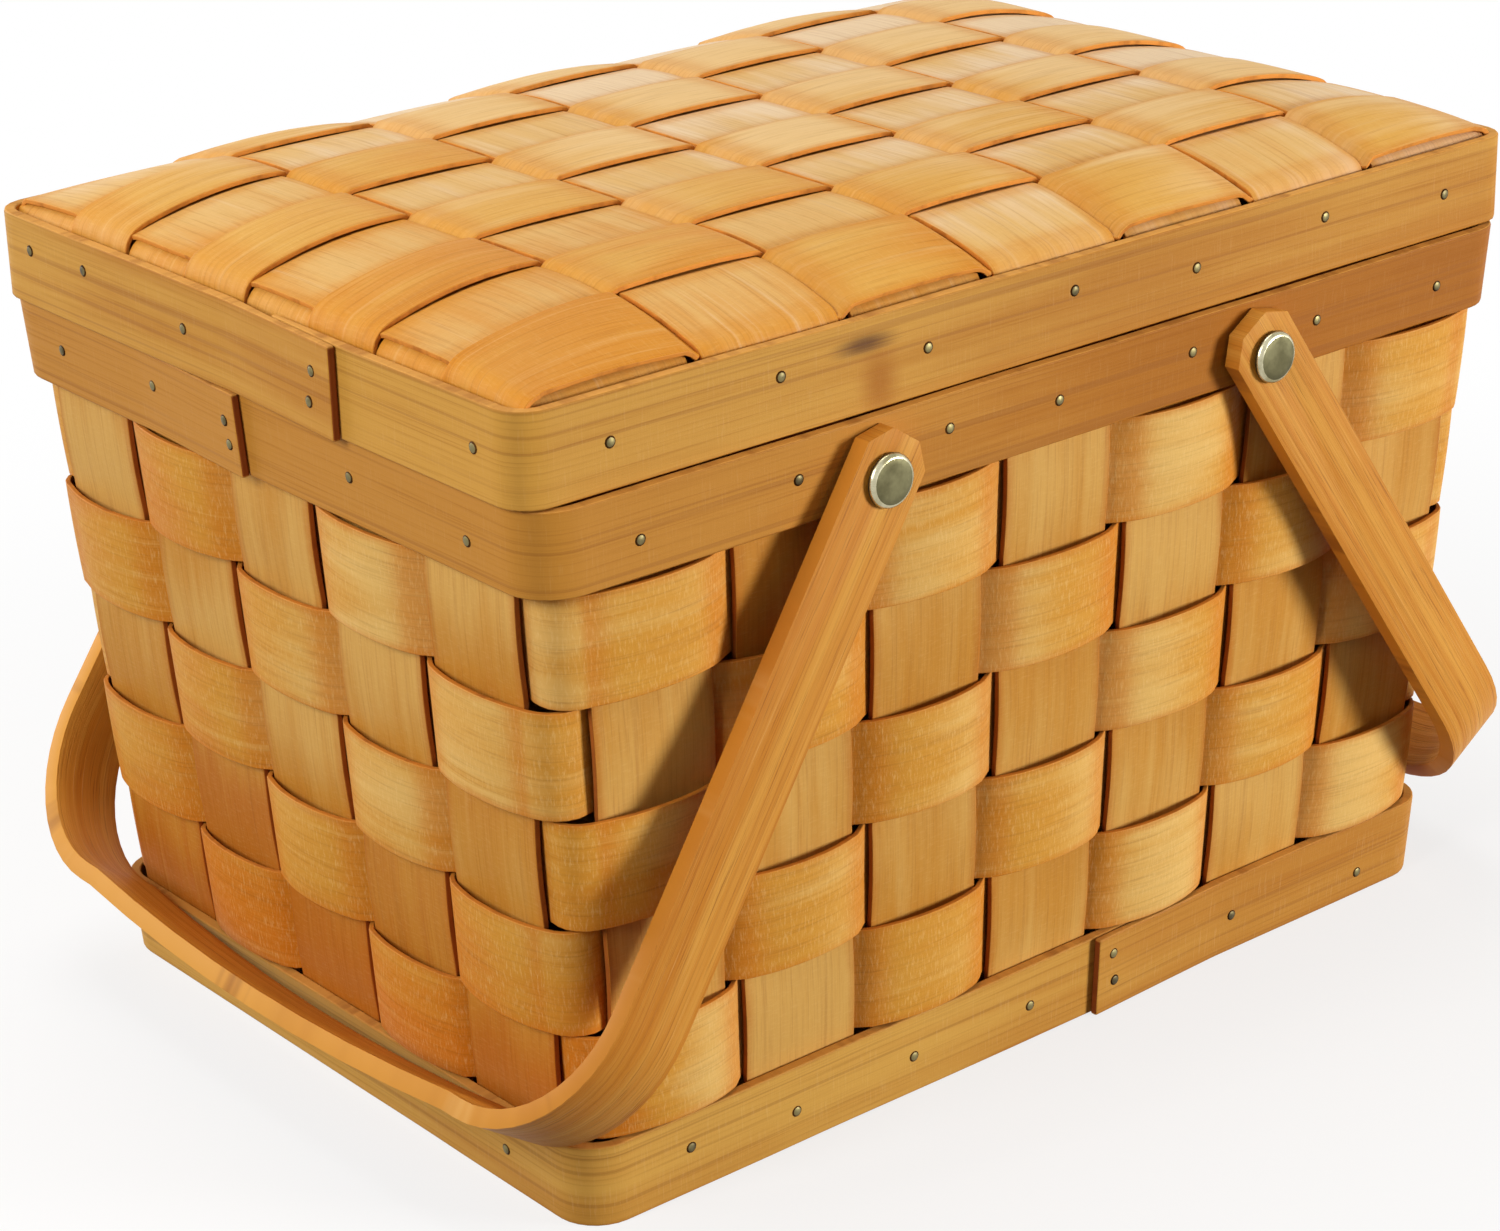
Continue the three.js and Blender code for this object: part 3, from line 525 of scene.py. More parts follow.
for row, height in enumerate(ROW_HEIGHTS):
    seed = WEAVER_SEED + row
    line = weaver_line(row, height)

    def weaver_place(along, across):
        x, y, raised = follow(line, along)
        drift = WEAVER_WAVER * wander(WEAVER_EDGE_SEED + row * 2 + (across > 0), along, pace=30)
        z = height + across * WEAVER_WIDTH / 2 + drift * abs(across)
        cupped = 1 - WEAVER_CUP * across * across * raised
        grow = [size * cupped for size in leaned(z, height)]
        # depth is the weaver's stain plus painted shade low on the left end.
        depth = patchy(seed, along, pace=26) + foot_shade(x, z)
        return (x * grow[0], y * grow[1], z), raised, 1, depth

    settle(splint(f"weaver_splint_{row + 1}", WEAVER_STEPS, line[0][-1], WEAVER_WIDTH, WEAVER_THICKNESS,
                  weaver_place, (weaver_face, weaver_edge), seed),
           "basket", "weaver_wood", f"weaver_{row + 1}")

# Base band: a sawn strip of the same wood bent round the foot. Its end laps over its start on the front,
# where two nails hold it, and the basket stands on its lower edge.
BAND_THICKNESS = 2.6
BAND_WAVER = 0.22
BAND_STAIN_DRIFT = 0.3
BAND_STAIN_SEED = 101
BAND_STEPS = 460
BAND_SIDE_STEPS = 24
BAND_CORNER_STEPS = 12
BAND_EASED_EDGE = 0.45
BAND_RADIUS = 8
LAP_LENGTH = 26
LAP_SKIVE_SHARE = 0.5
LAP_RAMP = 16
LAP_TIP = 1.8
LAP_LIFT_SHARE = 0.72
BASE_BAND_HEIGHT = 20
BASE_LAP_AT = -15.5


def band_line(half, radius, lap_side, at):
    """A band's middle line: x, y and the share of its thickness that is left where its ends are pared."""
    start = at - LAP_LENGTH
    full = BAND_THICKNESS / 2
    skive = LAP_SKIVE_SHARE * full
    line = [(*on_side(lap_side, half, start, skive), LAP_SKIVE_SHARE),
            (*on_side(lap_side, half, at, full), 1)]
    for i in range(4):
        corner = round_corner(lap_side + i, half, radius, full, full, BAND_CORNER_STEPS)
        line += [(x, y, 1) for x, y in corner]
        side = lap_side + i + 1
        reach = half[side % 2] - radius
        stop = reach if i < 3 else start - LAP_RAMP
        line += [(*on_side(side, half, -reach + (stop + reach) * n / BAND_SIDE_STEPS, full), 1)
                 for n in range(1, BAND_SIDE_STEPS)]
    lifted = BAND_THICKNESS + FIT_GAP
    over_skive = (2 * skive + FIT_GAP + BAND_THICKNESS + LAP_TIP / 3) / 2
    line.append((*on_side(lap_side, half, start - LAP_RAMP, full), 1))
    line.append((*on_side(lap_side, half, start - FIT_GAP, over_skive), LAP_LIFT_SHARE))
    line.append((*on_side(lap_side, half, at, lifted + LAP_TIP / 2), LAP_TIP / BAND_THICKNESS))
    return line


def band_finish(name, pale, honey, amber, saw, knot=None):
    """Sawn band: growth lines along it, fine saw marks across it, and stain soaked in at its edges. A knot,
    given by its place, has a patch of deeper stain beside it and a dark eye."""
    material, tree, shader = new_finish(name)
    grain = grain_of(tree)
    fibre = figure(tree, grain, (14, 1300), detail=5, roughness=0.7)
    rings = figure(tree, grain, (3.4, 85), detail=4, distortion=1.2)
    lines = figure(tree, grain, (2.6, 480), detail=3, roughness=0.5)
    blotch = figure(tree, grain, (15, 60), detail=4)
    marks = figure(tree, grain, (2000, 130), detail=3, roughness=0.65)
    depth = sums(tree, "ADD", mixture(tree, rings, 0.65, blotch, 0.35), carried(tree, "stain_and_shade"))
    at_edge = sums(tree, "ADD", carried(tree, "edge"), sums(tree, "MULTIPLY", blotch, 0.25))
    colour = tinted(tree, pale, ((depth, 0.34, 0.68, 0, 1, honey),
                                 (depth, 0.6, 1.05, 0, 0.75, amber),
                                 (lines, 0.56, 0.64, 0, 0.32, stain("8a5020")),
                                 (fibre, 0.48, 0.74, 0, 0.38, stain("8a4a14")),
                                 (marks, 0.54, 0.72, 0, saw, stain("f0cf96")),
                                 (at_edge, 1.02, 1.2, 0, 0.6, amber)))
    if knot:
        place = node(tree, "TexCoord").outputs["Object"]
        for shift, size, full, shade in (((4, 0, -9), (8, 20, 11), 0.75, amber),
                                         ((0, 0, 0), (12, 20, 3.4), 0.85, stain("55301c"))):
            moved = node(tree, "VectorMath", [(0, place)], operation="SUBTRACT")
            moved.inputs[1].default_value = (Vector(knot) + Vector(shift)) * MM
            sized = node(tree, "VectorMath", [(0, moved.outputs[0])], operation="DIVIDE")
            sized.inputs[1].default_value = Vector(size) * MM
            away = node(tree, "VectorMath", [(0, sized.outputs[0])], operation="LENGTH").outputs["Value"]
            ragged = sums(tree, "ADD", away, sums(tree, "MULTIPLY", fibre, 0.8))
            colour = tinted(tree, colour, [(ragged, 0.45, 1.35, full, 0, shade)])
    dress(tree, shader, colour, spread(tree, fibre, 0.3, 0.7, 0.46, 0.62),
          mixture(tree, fibre, 0.6, marks, 2 * saw), 0.35, 0.0004)
    shader.inputs["Specular IOR Level"].default_value = WOOD_GLOSS
    return material


def band(name, line, bottom, height, finishes, seed, leaning=True, deeper=0, turned=1,
         thickness=BAND_THICKNESS):
    """A band that stands on edge along its line, leaning with the walls where it is nailed to them. Its
    stain gets deeper from the left end to the right, and turned -1 makes it lap the other way round."""
    line = measured(line)
    middle = bottom + height / 2

    def band_place(along, across):
        x, y, share = follow(line, along)
        drift = BAND_WAVER * wander(seed * 3 + (across > 0), along, pace=22)
        z = max(bottom, middle + across * height / 2 + drift * abs(across))
        grow = leaned(z, middle) if leaning else (1, 1)
        drift = BAND_STAIN_DRIFT * wander(seed + BAND_STAIN_SEED, along, pace=7)
        return (turned * x * grow[0], y * grow[1], z), 1, share, drift + deeper * turned * x / BASE_HALF[0]

    return splint(name, BAND_STEPS, line[0][-1], height, thickness, band_place, finishes, seed,
                  rounding=BAND_EASED_EDGE)


base_face = band_finish("base_band_wood", stain("d3a04a"), stain("bf8434"), stain("a96318"), 0.12)
band_end = cut_edge_finish("band_cut_edge", stain("cf9444"), stain("8a4415"))
half = [side + FIT_GAP for side in wall(BASE_BAND_HEIGHT / 2)]
line = band_line(half, BAND_RADIUS + FIT_GAP, FRONT, BASE_LAP_AT)
settle(band("base_band_strip", line, 0, BASE_BAND_HEIGHT, (base_face, band_end), seed=31, deeper=0.12,
            turned=-1),
       "basket", "band_wood", "base_band")

# Rim bands: an outer and an inner sawn strip that hold the stake tops between them. The outer one laps
# on the left end; the inner one stops short of the top, to leave room for the lid's liner.
RIM_BAND_HEIGHT = 19.2
RIM_BOTTOM = BODY_TOP - RIM_BAND_HEIGHT
RIM_LAP_AT = -1.6
RIM_INNER_HEIGHT = 13
RIM_INNER_THICKNESS = 2.2
RIM_INNER_FACE = -STAKE_THICKNESS - FIT_GAP
HOOP_END_REACH = 60
HOOP_END_STEP = 6
HOOP_CORNER_STEPS = 10


def inner_line(half, radius, thickness):
    """A hoop that lies against the inside of something, with its ends butted in the middle of the back."""
    off = -thickness / 2
    line = []
    for n in range(0, HOOP_END_REACH, HOOP_END_STEP):
        line.append((*on_side(BACK, half, FIT_GAP / 2 + n, off), 1))
    for i in range(4):
        line += [(x, y, 1) for x, y in round_corner(BACK + i, half, radius, off, off, HOOP_CORNER_STEPS)]
    for n in range(-HOOP_END_REACH, 1, HOOP_END_STEP):
        line.append((*on_side(BACK, half, n - FIT_GAP / 2, off), 1))
    return line


rim_face = band_finish("rim_band_wood", stain("c08434"), stain("ad6c1e"), stain("965611"), 0.06)
half = [side + FIT_GAP for side in wall(RIM_BOTTOM + RIM_BAND_HEIGHT / 2)]
line = band_line(half, BAND_RADIUS + FIT_GAP, LEFT, RIM_LAP_AT)
settle(band("rim_band_strip", line, RIM_BOTTOM, RIM_BAND_HEIGHT, (rim_face, band_end), seed=32, deeper=0.32),
       "basket", "band_wood", "rim_outer_band")

half = [side + RIM_INNER_FACE for side in wall(RIM_BOTTOM + RIM_INNER_HEIGHT / 2)]
line = inner_line(half, BAND_RADIUS + RIM_INNER_FACE, RIM_INNER_THICKNESS)
settle(band("rim_inner_strip", line, RIM_BOTTOM, RIM_INNER_HEIGHT, (rim_face, band_end), seed=33,
            thickness=RIM_INNER_THICKNESS),
       "basket", "band_wood", "rim_inner_band")

# Lid band: a sawn strip of the same wood bent to a rounded rectangle, with a knot in its front. Its end
# laps over its start on the left, where two nails hold it, and the lid's weave is nailed inside it.
LID_BOTTOM = BODY_TOP + FIT_GAP
LID_BAND_HEIGHT = 20.5
LID_HALF = (145, 100.5)
LID_CORNER_RADIUS = 7.6
LID_LAP_AT = 39.5
LID_KNOT = (-57, -100.5, 183.2)

lid_face = band_finish("lid_band_wood", stain("cb9641"), stain("b77b2b"), stain("a25f15"), 0.07, LID_KNOT)
half = [side - BAND_THICKNESS for side in LID_HALF]
line = band_line(half, LID_CORNER_RADIUS - BAND_THICKNESS, LEFT, LID_LAP_AT)
settle(band("lid_band_strip", line, LID_BOTTOM, LID_BAND_HEIGHT, (lid_face, band_end), seed=34, leaning=False,
            deeper=0.12),
       "lid", "band_wood", "lid_band")

# Lid liner: four straight strips of the same wood inside the band. They hold the woven strips' ends
# against it, and drop into the mouth of the basket to keep the lid in place.
LINER_BOTTOM = 162.5
LINER_HEIGHT = 20
LINER_HALF = (138.33, 96.1)
LINER_STEPS = 12
LINER_SEED = 35

for side, name in enumerate(("front", "right", "back", "left")):
    reach = LINER_HALF[0] if side % 2 == 0 else LINER_HALF[1] - BAND_THICKNESS - FIT_GAP

    def liner_place(along, across):
        x, y = on_side(side, LINER_HALF, (2 * along - 1) * reach, -BAND_THICKNESS / 2)
        return (x, y, LINER_BOTTOM + LINER_HEIGHT / 2 * (1 + across)), 1, 1, 0

    settle(splint(f"lid_liner_strip_{name}", LINER_STEPS, 2 * reach, LINER_HEIGHT, BAND_THICKNESS,
                  liner_place, (rim_face, band_end), LINER_SEED + side, rounding=BAND_EASED_EDGE),
           "lid", "band_wood", f"lid_liner_{name}")

# Lid weave: seven wide cross strips and eight narrower long strips, woven over and under. The weave is
# sprung up in the middle and rolls down to the band, where all its ends turn down and are nailed.
LID_CROWN = 197.0
LID_END_DROP = 6.0
LID_SIDE_DROP = 7.5
LID_ROLL = 42
LID_FALL = 18.0
LID_STRIP_THICKNESS = 1.2
LID_CROSS_WIDTH = 36
LID_CROSS_COUNT = 7
LID_CROSS_PITCH = 39.433
LID_CROSS_COLUMNS = [(j - (LID_CROSS_COUNT - 1) / 2) * LID_CROSS_PITCH for j in range(LID_CROSS_COUNT)]
LID_CROSS_HALF = 97.0
LID_CROSS_BEND = 2.5
LID_CROSS_HALF_CELL = LID_CROSS_WIDTH / 2 + CELL_MARGIN
LID_CROSS_CLEAR = 0.3
LID_CROSS_BULGE = 0.1
LID_CROSS_CUP = 0.2
LID_CROSS_WAVER = 0.3
LID_CROSS_SPREAD = 3.0
LID_CROSS_STEPS = 190
LID_CROSS_SEED = 51
LID_LONG_WIDTH = 23.4
LID_LONG_COUNT = 8
LID_LONG_PITCH = 23.8
LID_LONG_COLUMNS = [((LID_LONG_COUNT - 1) / 2 - i) * LID_LONG_PITCH for i in range(LID_LONG_COUNT)]
LID_LONG_HALF = 140.9
LID_LONG_BEND = 4
LID_LONG_HALF_CELL = 10.4
LID_LONG_CLEAR = 1.0
LID_LONG_BULGE = 1.2
LID_LONG_CUP = 0.6
LID_LONG_WAVER = 0.25
LID_LONG_SPREAD = 1.2
LID_OVER_SPREAD = 0.8
LID_BETWEEN_SPREAD = 1.2
LID_LONG_STEPS = 250
LID_LONG_SEED = 61
LID_SAMPLES = 130
LID_FALL_STEPS = 4
LID_BENT_SWELL = 0.3
LID_TUCKED_SWELL = 0.2
LID_STAIN_LEFT = 0.3
LID_STAIN_FRONT = 0.22
LID_STAIN_DRIFT = 0.4
LID_STAIN_SEED = 60


def lid_surface(x, y):
    """The middle height of the weave: flat in the middle, and rolled down towards the band."""
    end = max(0, (abs(x) - LID_LONG_HALF) / LID_ROLL + 1) ** 2
    side = max(0, (abs(y) - LID_CROSS_HALF) / LID_ROLL + 1) ** 2
    return LID_CROWN - LID_END_DROP * end - LID_SIDE_DROP * side + LID_END_DROP * end * side


def woven(at, columns, cell, sides, clear, bulge):
    """A strip's height over the lid's middle surface, and its swell, where it crosses other strips."""
    nearest = min(range(len(columns)), key=lambda n: abs(columns[n] - at))
    share = (at - columns[nearest]) / cell
    if abs(share) <= 1:
        raised = sprung(share)
        return sides[nearest] * (clear + bulge * raised), raised
    step = 1 if share > 0 else -1
    if not 0 <= nearest + step < len(columns):
        return sides[nearest] * clear, LID_TUCKED_SWELL
    start = columns[nearest] + step * cell
    part = (at - start) / (columns[nearest + step] - step * cell - start)
    ease = part * part * (3 - 2 * part)
    return clear * (sides[nearest] + (sides[nearest + step] - sides[nearest]) * ease), 0


def lid_strip_line(half, bend, columns, cell, sides, clear, bulge):
    """A lid strip's line: place along it, fall behind the band, height over the surface, and swell."""
    flat = half - bend
    top = [(at, 0.0, *woven(at, columns, cell, sides, clear, bulge))
           for at in (flat * (n / LID_SAMPLES - 1) for n in range(2 * LID_SAMPLES + 1))]
    ends = []
    for sign, height in ((-1, top[0][2]), (1, top[-1][2])):
        end = []
        for n in range(1, BEND_STEPS + 1):
            turn = math.pi / 2 * n / BEND_STEPS
            at = sign * (flat + bend * math.sin(turn))
            end.append((at, bend * (1 - math.cos(turn)), height, LID_BENT_SWELL))
        for n in range(1, LID_FALL_STEPS + 1):
            fallen = bend + (LID_FALL - bend) * n / LID_FALL_STEPS
            end.append((sign * half, fallen, height, LID_TUCKED_SWELL))
        ends.append(end)
    return measured(ends[0][::-1] + top + ends[1])


def lid_stain(x, y, seed, along):
    """How deep the lid's stain is: deepest towards its front left corner."""
    placed = STAIN_LEVEL - LID_STAIN_LEFT * x / LID_LONG_HALF - LID_STAIN_FRONT * y / LID_CROSS_HALF
    return placed + LID_STAIN_DRIFT * wander(seed + LID_STAIN_SEED, along, pace=9)


lid_cross_face = splint_finish("lid_cross_splint", stain("e4c8a1"), stain("d8ad68"), stain("cc841c"), 0.12)
lid_long_face = splint_finish("lid_long_splint", stain("e0ba7d"), stain("d4a04a"), stain("c97f1a"), 0.1)
lid_edge = cut_edge_finish("lid_cut_edge", stain("d68d38"), stain("b0621d"))

for j, column in enumerate(LID_CROSS_COLUMNS):
    seed = LID_CROSS_SEED + j
    sides = [1 if (i + j) % 2 == 0 else -1 for i in reversed(range(LID_LONG_COUNT))]
    line = lid_strip_line(LID_CROSS_HALF, LID_CROSS_BEND, LID_LONG_COLUMNS[::-1], LID_LONG_HALF_CELL, sides,
                          LID_CROSS_CLEAR, LID_CROSS_BULGE)

    def lid_cross_place(along, across):
        y, fallen, height, raised = follow(line, along)
        outer = (j == 0 and across < 0) or (j == LID_CROSS_COUNT - 1 and across > 0)
        waver = LID_CROSS_WAVER * wander(seed, along, pace=14)
        x = column + across * (LID_CROSS_WIDTH / 2 + waver + LID_CROSS_SPREAD * outer)
        z = lid_surface(x, y) + height - fallen - LID_CROSS_CUP * across * across
        return (x, y, z), max(raised, LID_BENT_SWELL), 1, lid_stain(x, y, seed, along)

    settle(splint(f"lid_cross_splint_{j + 1}", LID_CROSS_STEPS, line[0][-1], LID_CROSS_WIDTH,
                  LID_STRIP_THICKNESS, lid_cross_place, (lid_cross_face, lid_edge), seed),
           "lid", "stake_wood", f"lid_cross_strip_{j + 1}")

for i, column in enumerate(LID_LONG_COLUMNS):
    seed = LID_LONG_SEED + i
    sides = [1 if (i + j) % 2 == 1 else -1 for j in range(LID_CROSS_COUNT)]
    line = lid_strip_line(LID_LONG_HALF, LID_LONG_BEND, LID_CROSS_COLUMNS, LID_CROSS_HALF_CELL, sides,
                          LID_LONG_CLEAR, LID_LONG_BULGE)

    def lid_long_place(along, across):
        x, fallen, height, raised = follow(line, along)
        outer = (i == LID_LONG_COUNT - 1 and across < 0) or (i == 0 and across > 0)
        over = max(0, min(1, height))
        between = min(abs(x - middle) for middle in LID_CROSS_COLUMNS) > LID_CROSS_WIDTH / 2
        spreading = (LID_LONG_SPREAD + max(LID_OVER_SPREAD * over, LID_BETWEEN_SPREAD * between)) * outer
        waver = LID_LONG_WAVER * wander(seed, along, pace=16)
        y = column + across * (LID_LONG_WIDTH / 2 + waver + spreading)
        z = lid_surface(x, y) + height - fallen - LID_LONG_CUP * across * across * raised * over
        return (x, y, z), max(raised, LID_BENT_SWELL), 1, lid_stain(x, y, seed, along)

    settle(splint(f"lid_long_splint_{i + 1}", LID_LONG_STEPS, line[0][-1], LID_LONG_WIDTH,
                  LID_STRIP_THICKNESS, lid_long_place, (lid_long_face, lid_edge), seed),
           "lid", "weaver_wood", f"lid_long_strip_{i + 1}")

# Rivets: plated brass caps with a painted highlight round the edge, each on a shank that goes through the
# handle's strap and the rim. A flat cap pressed on the shank inside the rim holds it, and the strap turns on
# it.
RIVET_X = 57.191
RIVET_Z = 155.7
RIVET_STEPS = 40
CAP_THICKNESS = 1.6
CAP_PROFILE = [(0, 1.62), (3.6, 1.6), (5.0, 1.55), (5.45, 1.38), (5.8, 1.05), (6, 0.6), (6, 0.12), (5.8, 0),
               (1.9, 0), (1.9, -12.5), (0, -12.5)]
CAP_HIGHLIGHT = (5.2, 5.9)
BACK_PROFILE = [(0, -1.8), (4.4, -1.78), (5.3, -1.6), (5.85, -1.15), (6, -0.7), (6, 0), (0, 0)]
BACK_CAP_FACE = 94.95
STRAP_FACE = -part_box("rivet_left_front")[0].y / MM - CAP_THICKNESS
RIVET_PARTS = (("rivet", CAP_PROFILE, STRAP_FACE), ("rivet_cap", BACK_PROFILE, BACK_CAP_FACE))
MERGE_DISTANCE = 1e-6


def turned_piece(bm, profile, steps):
    """A lathe-turned shape about the local Y axis, from a half profile of radius and height."""
    corners = [bm.verts.new((radius * MM, height * MM, 0)) for radius, height in profile]
    edges = [bm.edges.new(pair) for pair in zip(corners, corners[1:])]
    bmesh.ops.spin(bm, geom=corners + edges, cent=(0, 0, 0), axis=(0, 1, 0), angle=2 * math.pi, steps=steps,
                   use_merge=True, use_duplicate=False)


def finished(name, bm, finishes):
    """Closes a mesh's seams and poles and makes it a piece."""
    bmesh.ops.remove_doubles(bm, verts=bm.verts, dist=MERGE_DISTANCE)
    bmesh.ops.recalc_face_normals(bm, faces=bm.faces)
    for face in bm.faces:
        face.smooth = True
    mesh = bpy.data.meshes.new(name)
    bm.to_mesh(mesh)
    bm.free()
    for finish in finishes:
        mesh.materials.append(finish)
    piece = bpy.data.objects.new(name, mesh)
    bpy.context.scene.collection.objects.link(piece)
    return piece


def plated_finish(name, metal, tarnish, rough):
    """Plated brass, rubbed in places and tarnished in others."""
    material, tree, shader = new_finish(name)
    place = node(tree, "TexCoord").outputs["Object"]
    rubbed = figure(tree, place, (900, 900, 900), detail=4)
    wear = figure(tree, place, (160, 160, 160), detail=3)
    colour = tinted(tree, metal, [(wear, 0.4, 0.68, 0, 1, tarnish)])
    dress(tree, shader, colour, spread(tree, rubbed, 0.3, 0.7, rough, rough + 0.14), rubbed, 0.12, 0.0001)
    shader.inputs["Metallic"].default_value = 1
    return material


rivet_metal = plated_finish("rivet_plate", stain("5f5b41"), stain("4c4831"), 0.46)
rivet_painted_highlight = plated_finish("rivet_bevel_highlight", stain("c8c2a4"), stain("9a926e"), 0.2)

for end, x in (("left", -RIVET_X), ("right", RIVET_X)):
    for face, turn in (("front", math.pi), ("back", 0)):
        for label, profile, out in RIVET_PARTS:
            bm = bmesh.new()
            turned_piece(bm, profile, RIVET_STEPS)
            # The ring of faces round each cap's turned edge takes the painted highlight.
            for ring in bm.faces:
                radius = ring.calc_center_median().xz.length
                ring.material_index = int(CAP_HIGHLIGHT[0] * MM < radius < CAP_HIGHLIGHT[1] * MM)
            bmesh.ops.translate(bm, verts=bm.verts, vec=(0, out * MM, 0))
            bmesh.ops.rotate(bm, verts=bm.verts, cent=(0, 0, 0), matrix=Matrix.Rotation(turn, 3, "Z"))
            bmesh.ops.translate(bm, verts=bm.verts, vec=(x * MM, 0, RIVET_Z * MM))
            piece = finished(f"{label}_head_{end}_{face}", bm, [rivet_metal, rivet_painted_highlight])
            settle(piece, "basket", "rivet_brass", f"{label}_{end}_{face}")

# Handles: flat straps of steam-bent wood, bowed to a U with clipped ends, that swing on the rivets. Each
# is the solid's own shape with its sharp edges rounded over.
HANDLE_REACH = 156
HANDLE_BEND = 33
HANDLE_HANG = {"left": 33.9, "right": -33.9}
HANDLE_ROUNDING = 0.7
BAR_BEND_Y = 76.0
FLAT_ANGLE = math.radians(1)
STRAP_GRAIN_SHIFT = 400
STRAP_GRAIN_APART = 500


def handle_finish(name, pale, honey, amber):
    """Bentwood strap: straight open pores along it and a clear orange stain."""
    material, tree, shader = new_finish(name)
    grain = grain_of(tree)
    fibre = figure(tree, grain, (8, 1500), detail=5, roughness=0.75)
    pores = figure(tree, grain, (36, 2200), detail=4, roughness=0.65)
    rings = figure(tree, grain, (2.0, 240), detail=4, distortion=0.4)
    blotch = figure(tree, grain, (9, 40), detail=4)
    colour = tinted(tree, pale, ((rings, 0.36, 0.64, 0, 1, honey),
                                 (blotch, 0.45, 0.75, 0, 0.5, amber),
                                 (fibre, 0.47, 0.7, 0, 0.45, stain("96541a")),
                                 (pores, 0.56, 0.68, 0, 0.6, stain("7d3f12")),
                                 (pores, 0.28, 0.42, 0.3, 0, stain("e8bd78"))))
    dress(tree, shader, colour, spread(tree, fibre, 0.3, 0.7, 0.42, 0.56),
          sums(tree, "SUBTRACT", fibre, pores), 0.35, 0.0004)
    shader.inputs["Specular IOR Level"].default_value = WOOD_GLOSS
    return material


strap_face = handle_finish("handle_bentwood", stain("d6983f"), stain("c78029"), stain("b0641a"))

for end, sign in (("left", -1), ("right", 1)):
    bm = bmesh.new()
    bm.from_mesh(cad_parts[f"{end}_handle"].data)
    bmesh.ops.remove_doubles(bm, verts=bm.verts, dist=MERGE_DISTANCE)
    bmesh.ops.dissolve_limit(bm, angle_limit=FLAT_ANGLE, verts=bm.verts, edges=bm.edges)
    sharp = [edge for edge in bm.edges if edge.calc_face_angle(0) > SHARP_ANGLE]
    bmesh.ops.bevel(bm, geom=sharp, offset=HANDLE_ROUNDING * MM, offset_type="OFFSET", affect="EDGES",
                    segments=3, profile=0.5, material=-1, clamp_overlap=True)
    bmesh.ops.triangulate(bm, faces=[face for face in bm.faces if len(face.verts) > 4])
    grain = bm.loops.layers.uv.new("grain")
    to_flat = Matrix.Rotation(math.radians(HANDLE_HANG[end]), 3, "Y").inverted()
    pivot = Vector((sign * RIVET_X * MM, 0, RIVET_Z * MM))
    for face in bm.faces:
        for loop in face.loops:
            spot = to_flat @ (loop.vert.co - pivot) / MM
            below = -spot.z - (HANDLE_REACH - HANDLE_BEND)
            beyond = abs(spot.y) - BAR_BEND_Y
            if beyond <= 0:
                run = spot.y
            elif below <= 0:
                run = math.copysign(BAR_BEND_Y + HANDLE_BEND * math.pi / 2 - below, spot.y)
            else:
                run = math.copysign(BAR_BEND_Y + HANDLE_BEND * math.atan2(beyond, below), spot.y)
            loop[grain].uv = ((run + STRAP_GRAIN_SHIFT) * MM, (spot.x + (sign + 2) * STRAP_GRAIN_APART) * MM)
    strap = finished(f"{end}_handle_strap", bm, [strap_face])
    settle(strap, f"{end}_handle", "handle_wood", f"{end}_handle")

# Nails: small round-headed brass nails with painted shade round their heads, driven by hand so that they
# don't quite line up. They go through the bands into the strips and stakes, and a pair through each lapped
# end.
NAIL_PROFILE = [(0, 0.36), (0.7, 0.33), (1.0, 0.22), (1.35, 0.03), (1.35, -0.6), (0, -0.6)]
NAIL_SHADE_FROM = 1.05
NAIL_STEPS = 12
LID_NAIL_X = [-122.8, -79.3, -39.5, 2.7, 39.9, 81.1, 121.8]
LID_NAILS = [[(x, 178.4 + 3 * (n % 2)) for n, x in enumerate(LID_NAIL_X)],
             [(y, 179.6) for y in (-82, -41, 3, 40, 83)],
             [(-x, 180) for x in LID_NAIL_X],
             [(-84.4, 181.5), (-61, 182), (-20, 178.2), (85.8, 178.9)]]
LID_LAP_NAILS = [(32.3, 181.9), (30.7, 174.9)]
LID_LAP_OUT = 1.7
RIM_NAIL_X = [-117.6, -76.7, -35.2, -3.3, 37.3, 77.5, 118.5]
RIM_NAIL_Z = [157.1, 159.2, 160.1, 158.6, 160, 158.3, 157.3]
RIM_NAILS = [list(zip(RIM_NAIL_X, RIM_NAIL_Z)),
             [(y, 158.5) for y in (-79, -38, 2, 39, 80)],
             [(-x, 158.8) for x in RIM_NAIL_X],
             [(-77.9, 159), (37.8, 159.4), (78.6, 156.9)]]
RIM_RAMP_NAIL = (-38, 160.5)
RIM_RAMP_OUT = 0.26
RIM_LAP_NAILS = [(-6.3, 161), (-5.4, 155.7)]
RIM_LAP_OUT = 1.88
BASE_NAIL_X = [-104.6, -74.8, -40.2, -4.3, 62.4, 107.4]
BASE_NAIL_Z = [11.4, 8.7, 9.5, 9.4, 9.8, 6.2]
BASE_NAILS = [list(zip(BASE_NAIL_X, BASE_NAIL_Z)),
              [(y, 9.5) for y in (-66, -33, 1, 34, 67)],
              [(x, 9.2) for x in (-105, -71, -36, -1, 35, 70, 106)],
              [(y, 9.6) for y in (-67, -34, 0, 33, 66)]]
BASE_LAP_NAILS = [(20.5, 15), (21.3, 7.6)]
BASE_LAP_OUT = 1.84

nail_metal = plated_finish("nail_brass", stain("7a704b"), stain("4c4430"), 0.42)
# The second finish is a dark painted shade for the rims of the nail heads.
nail_rim_shade = plated_finish("nail_rim_painted_shade", stain("4a2f14"), stain("2e1b0a"), 0.6)


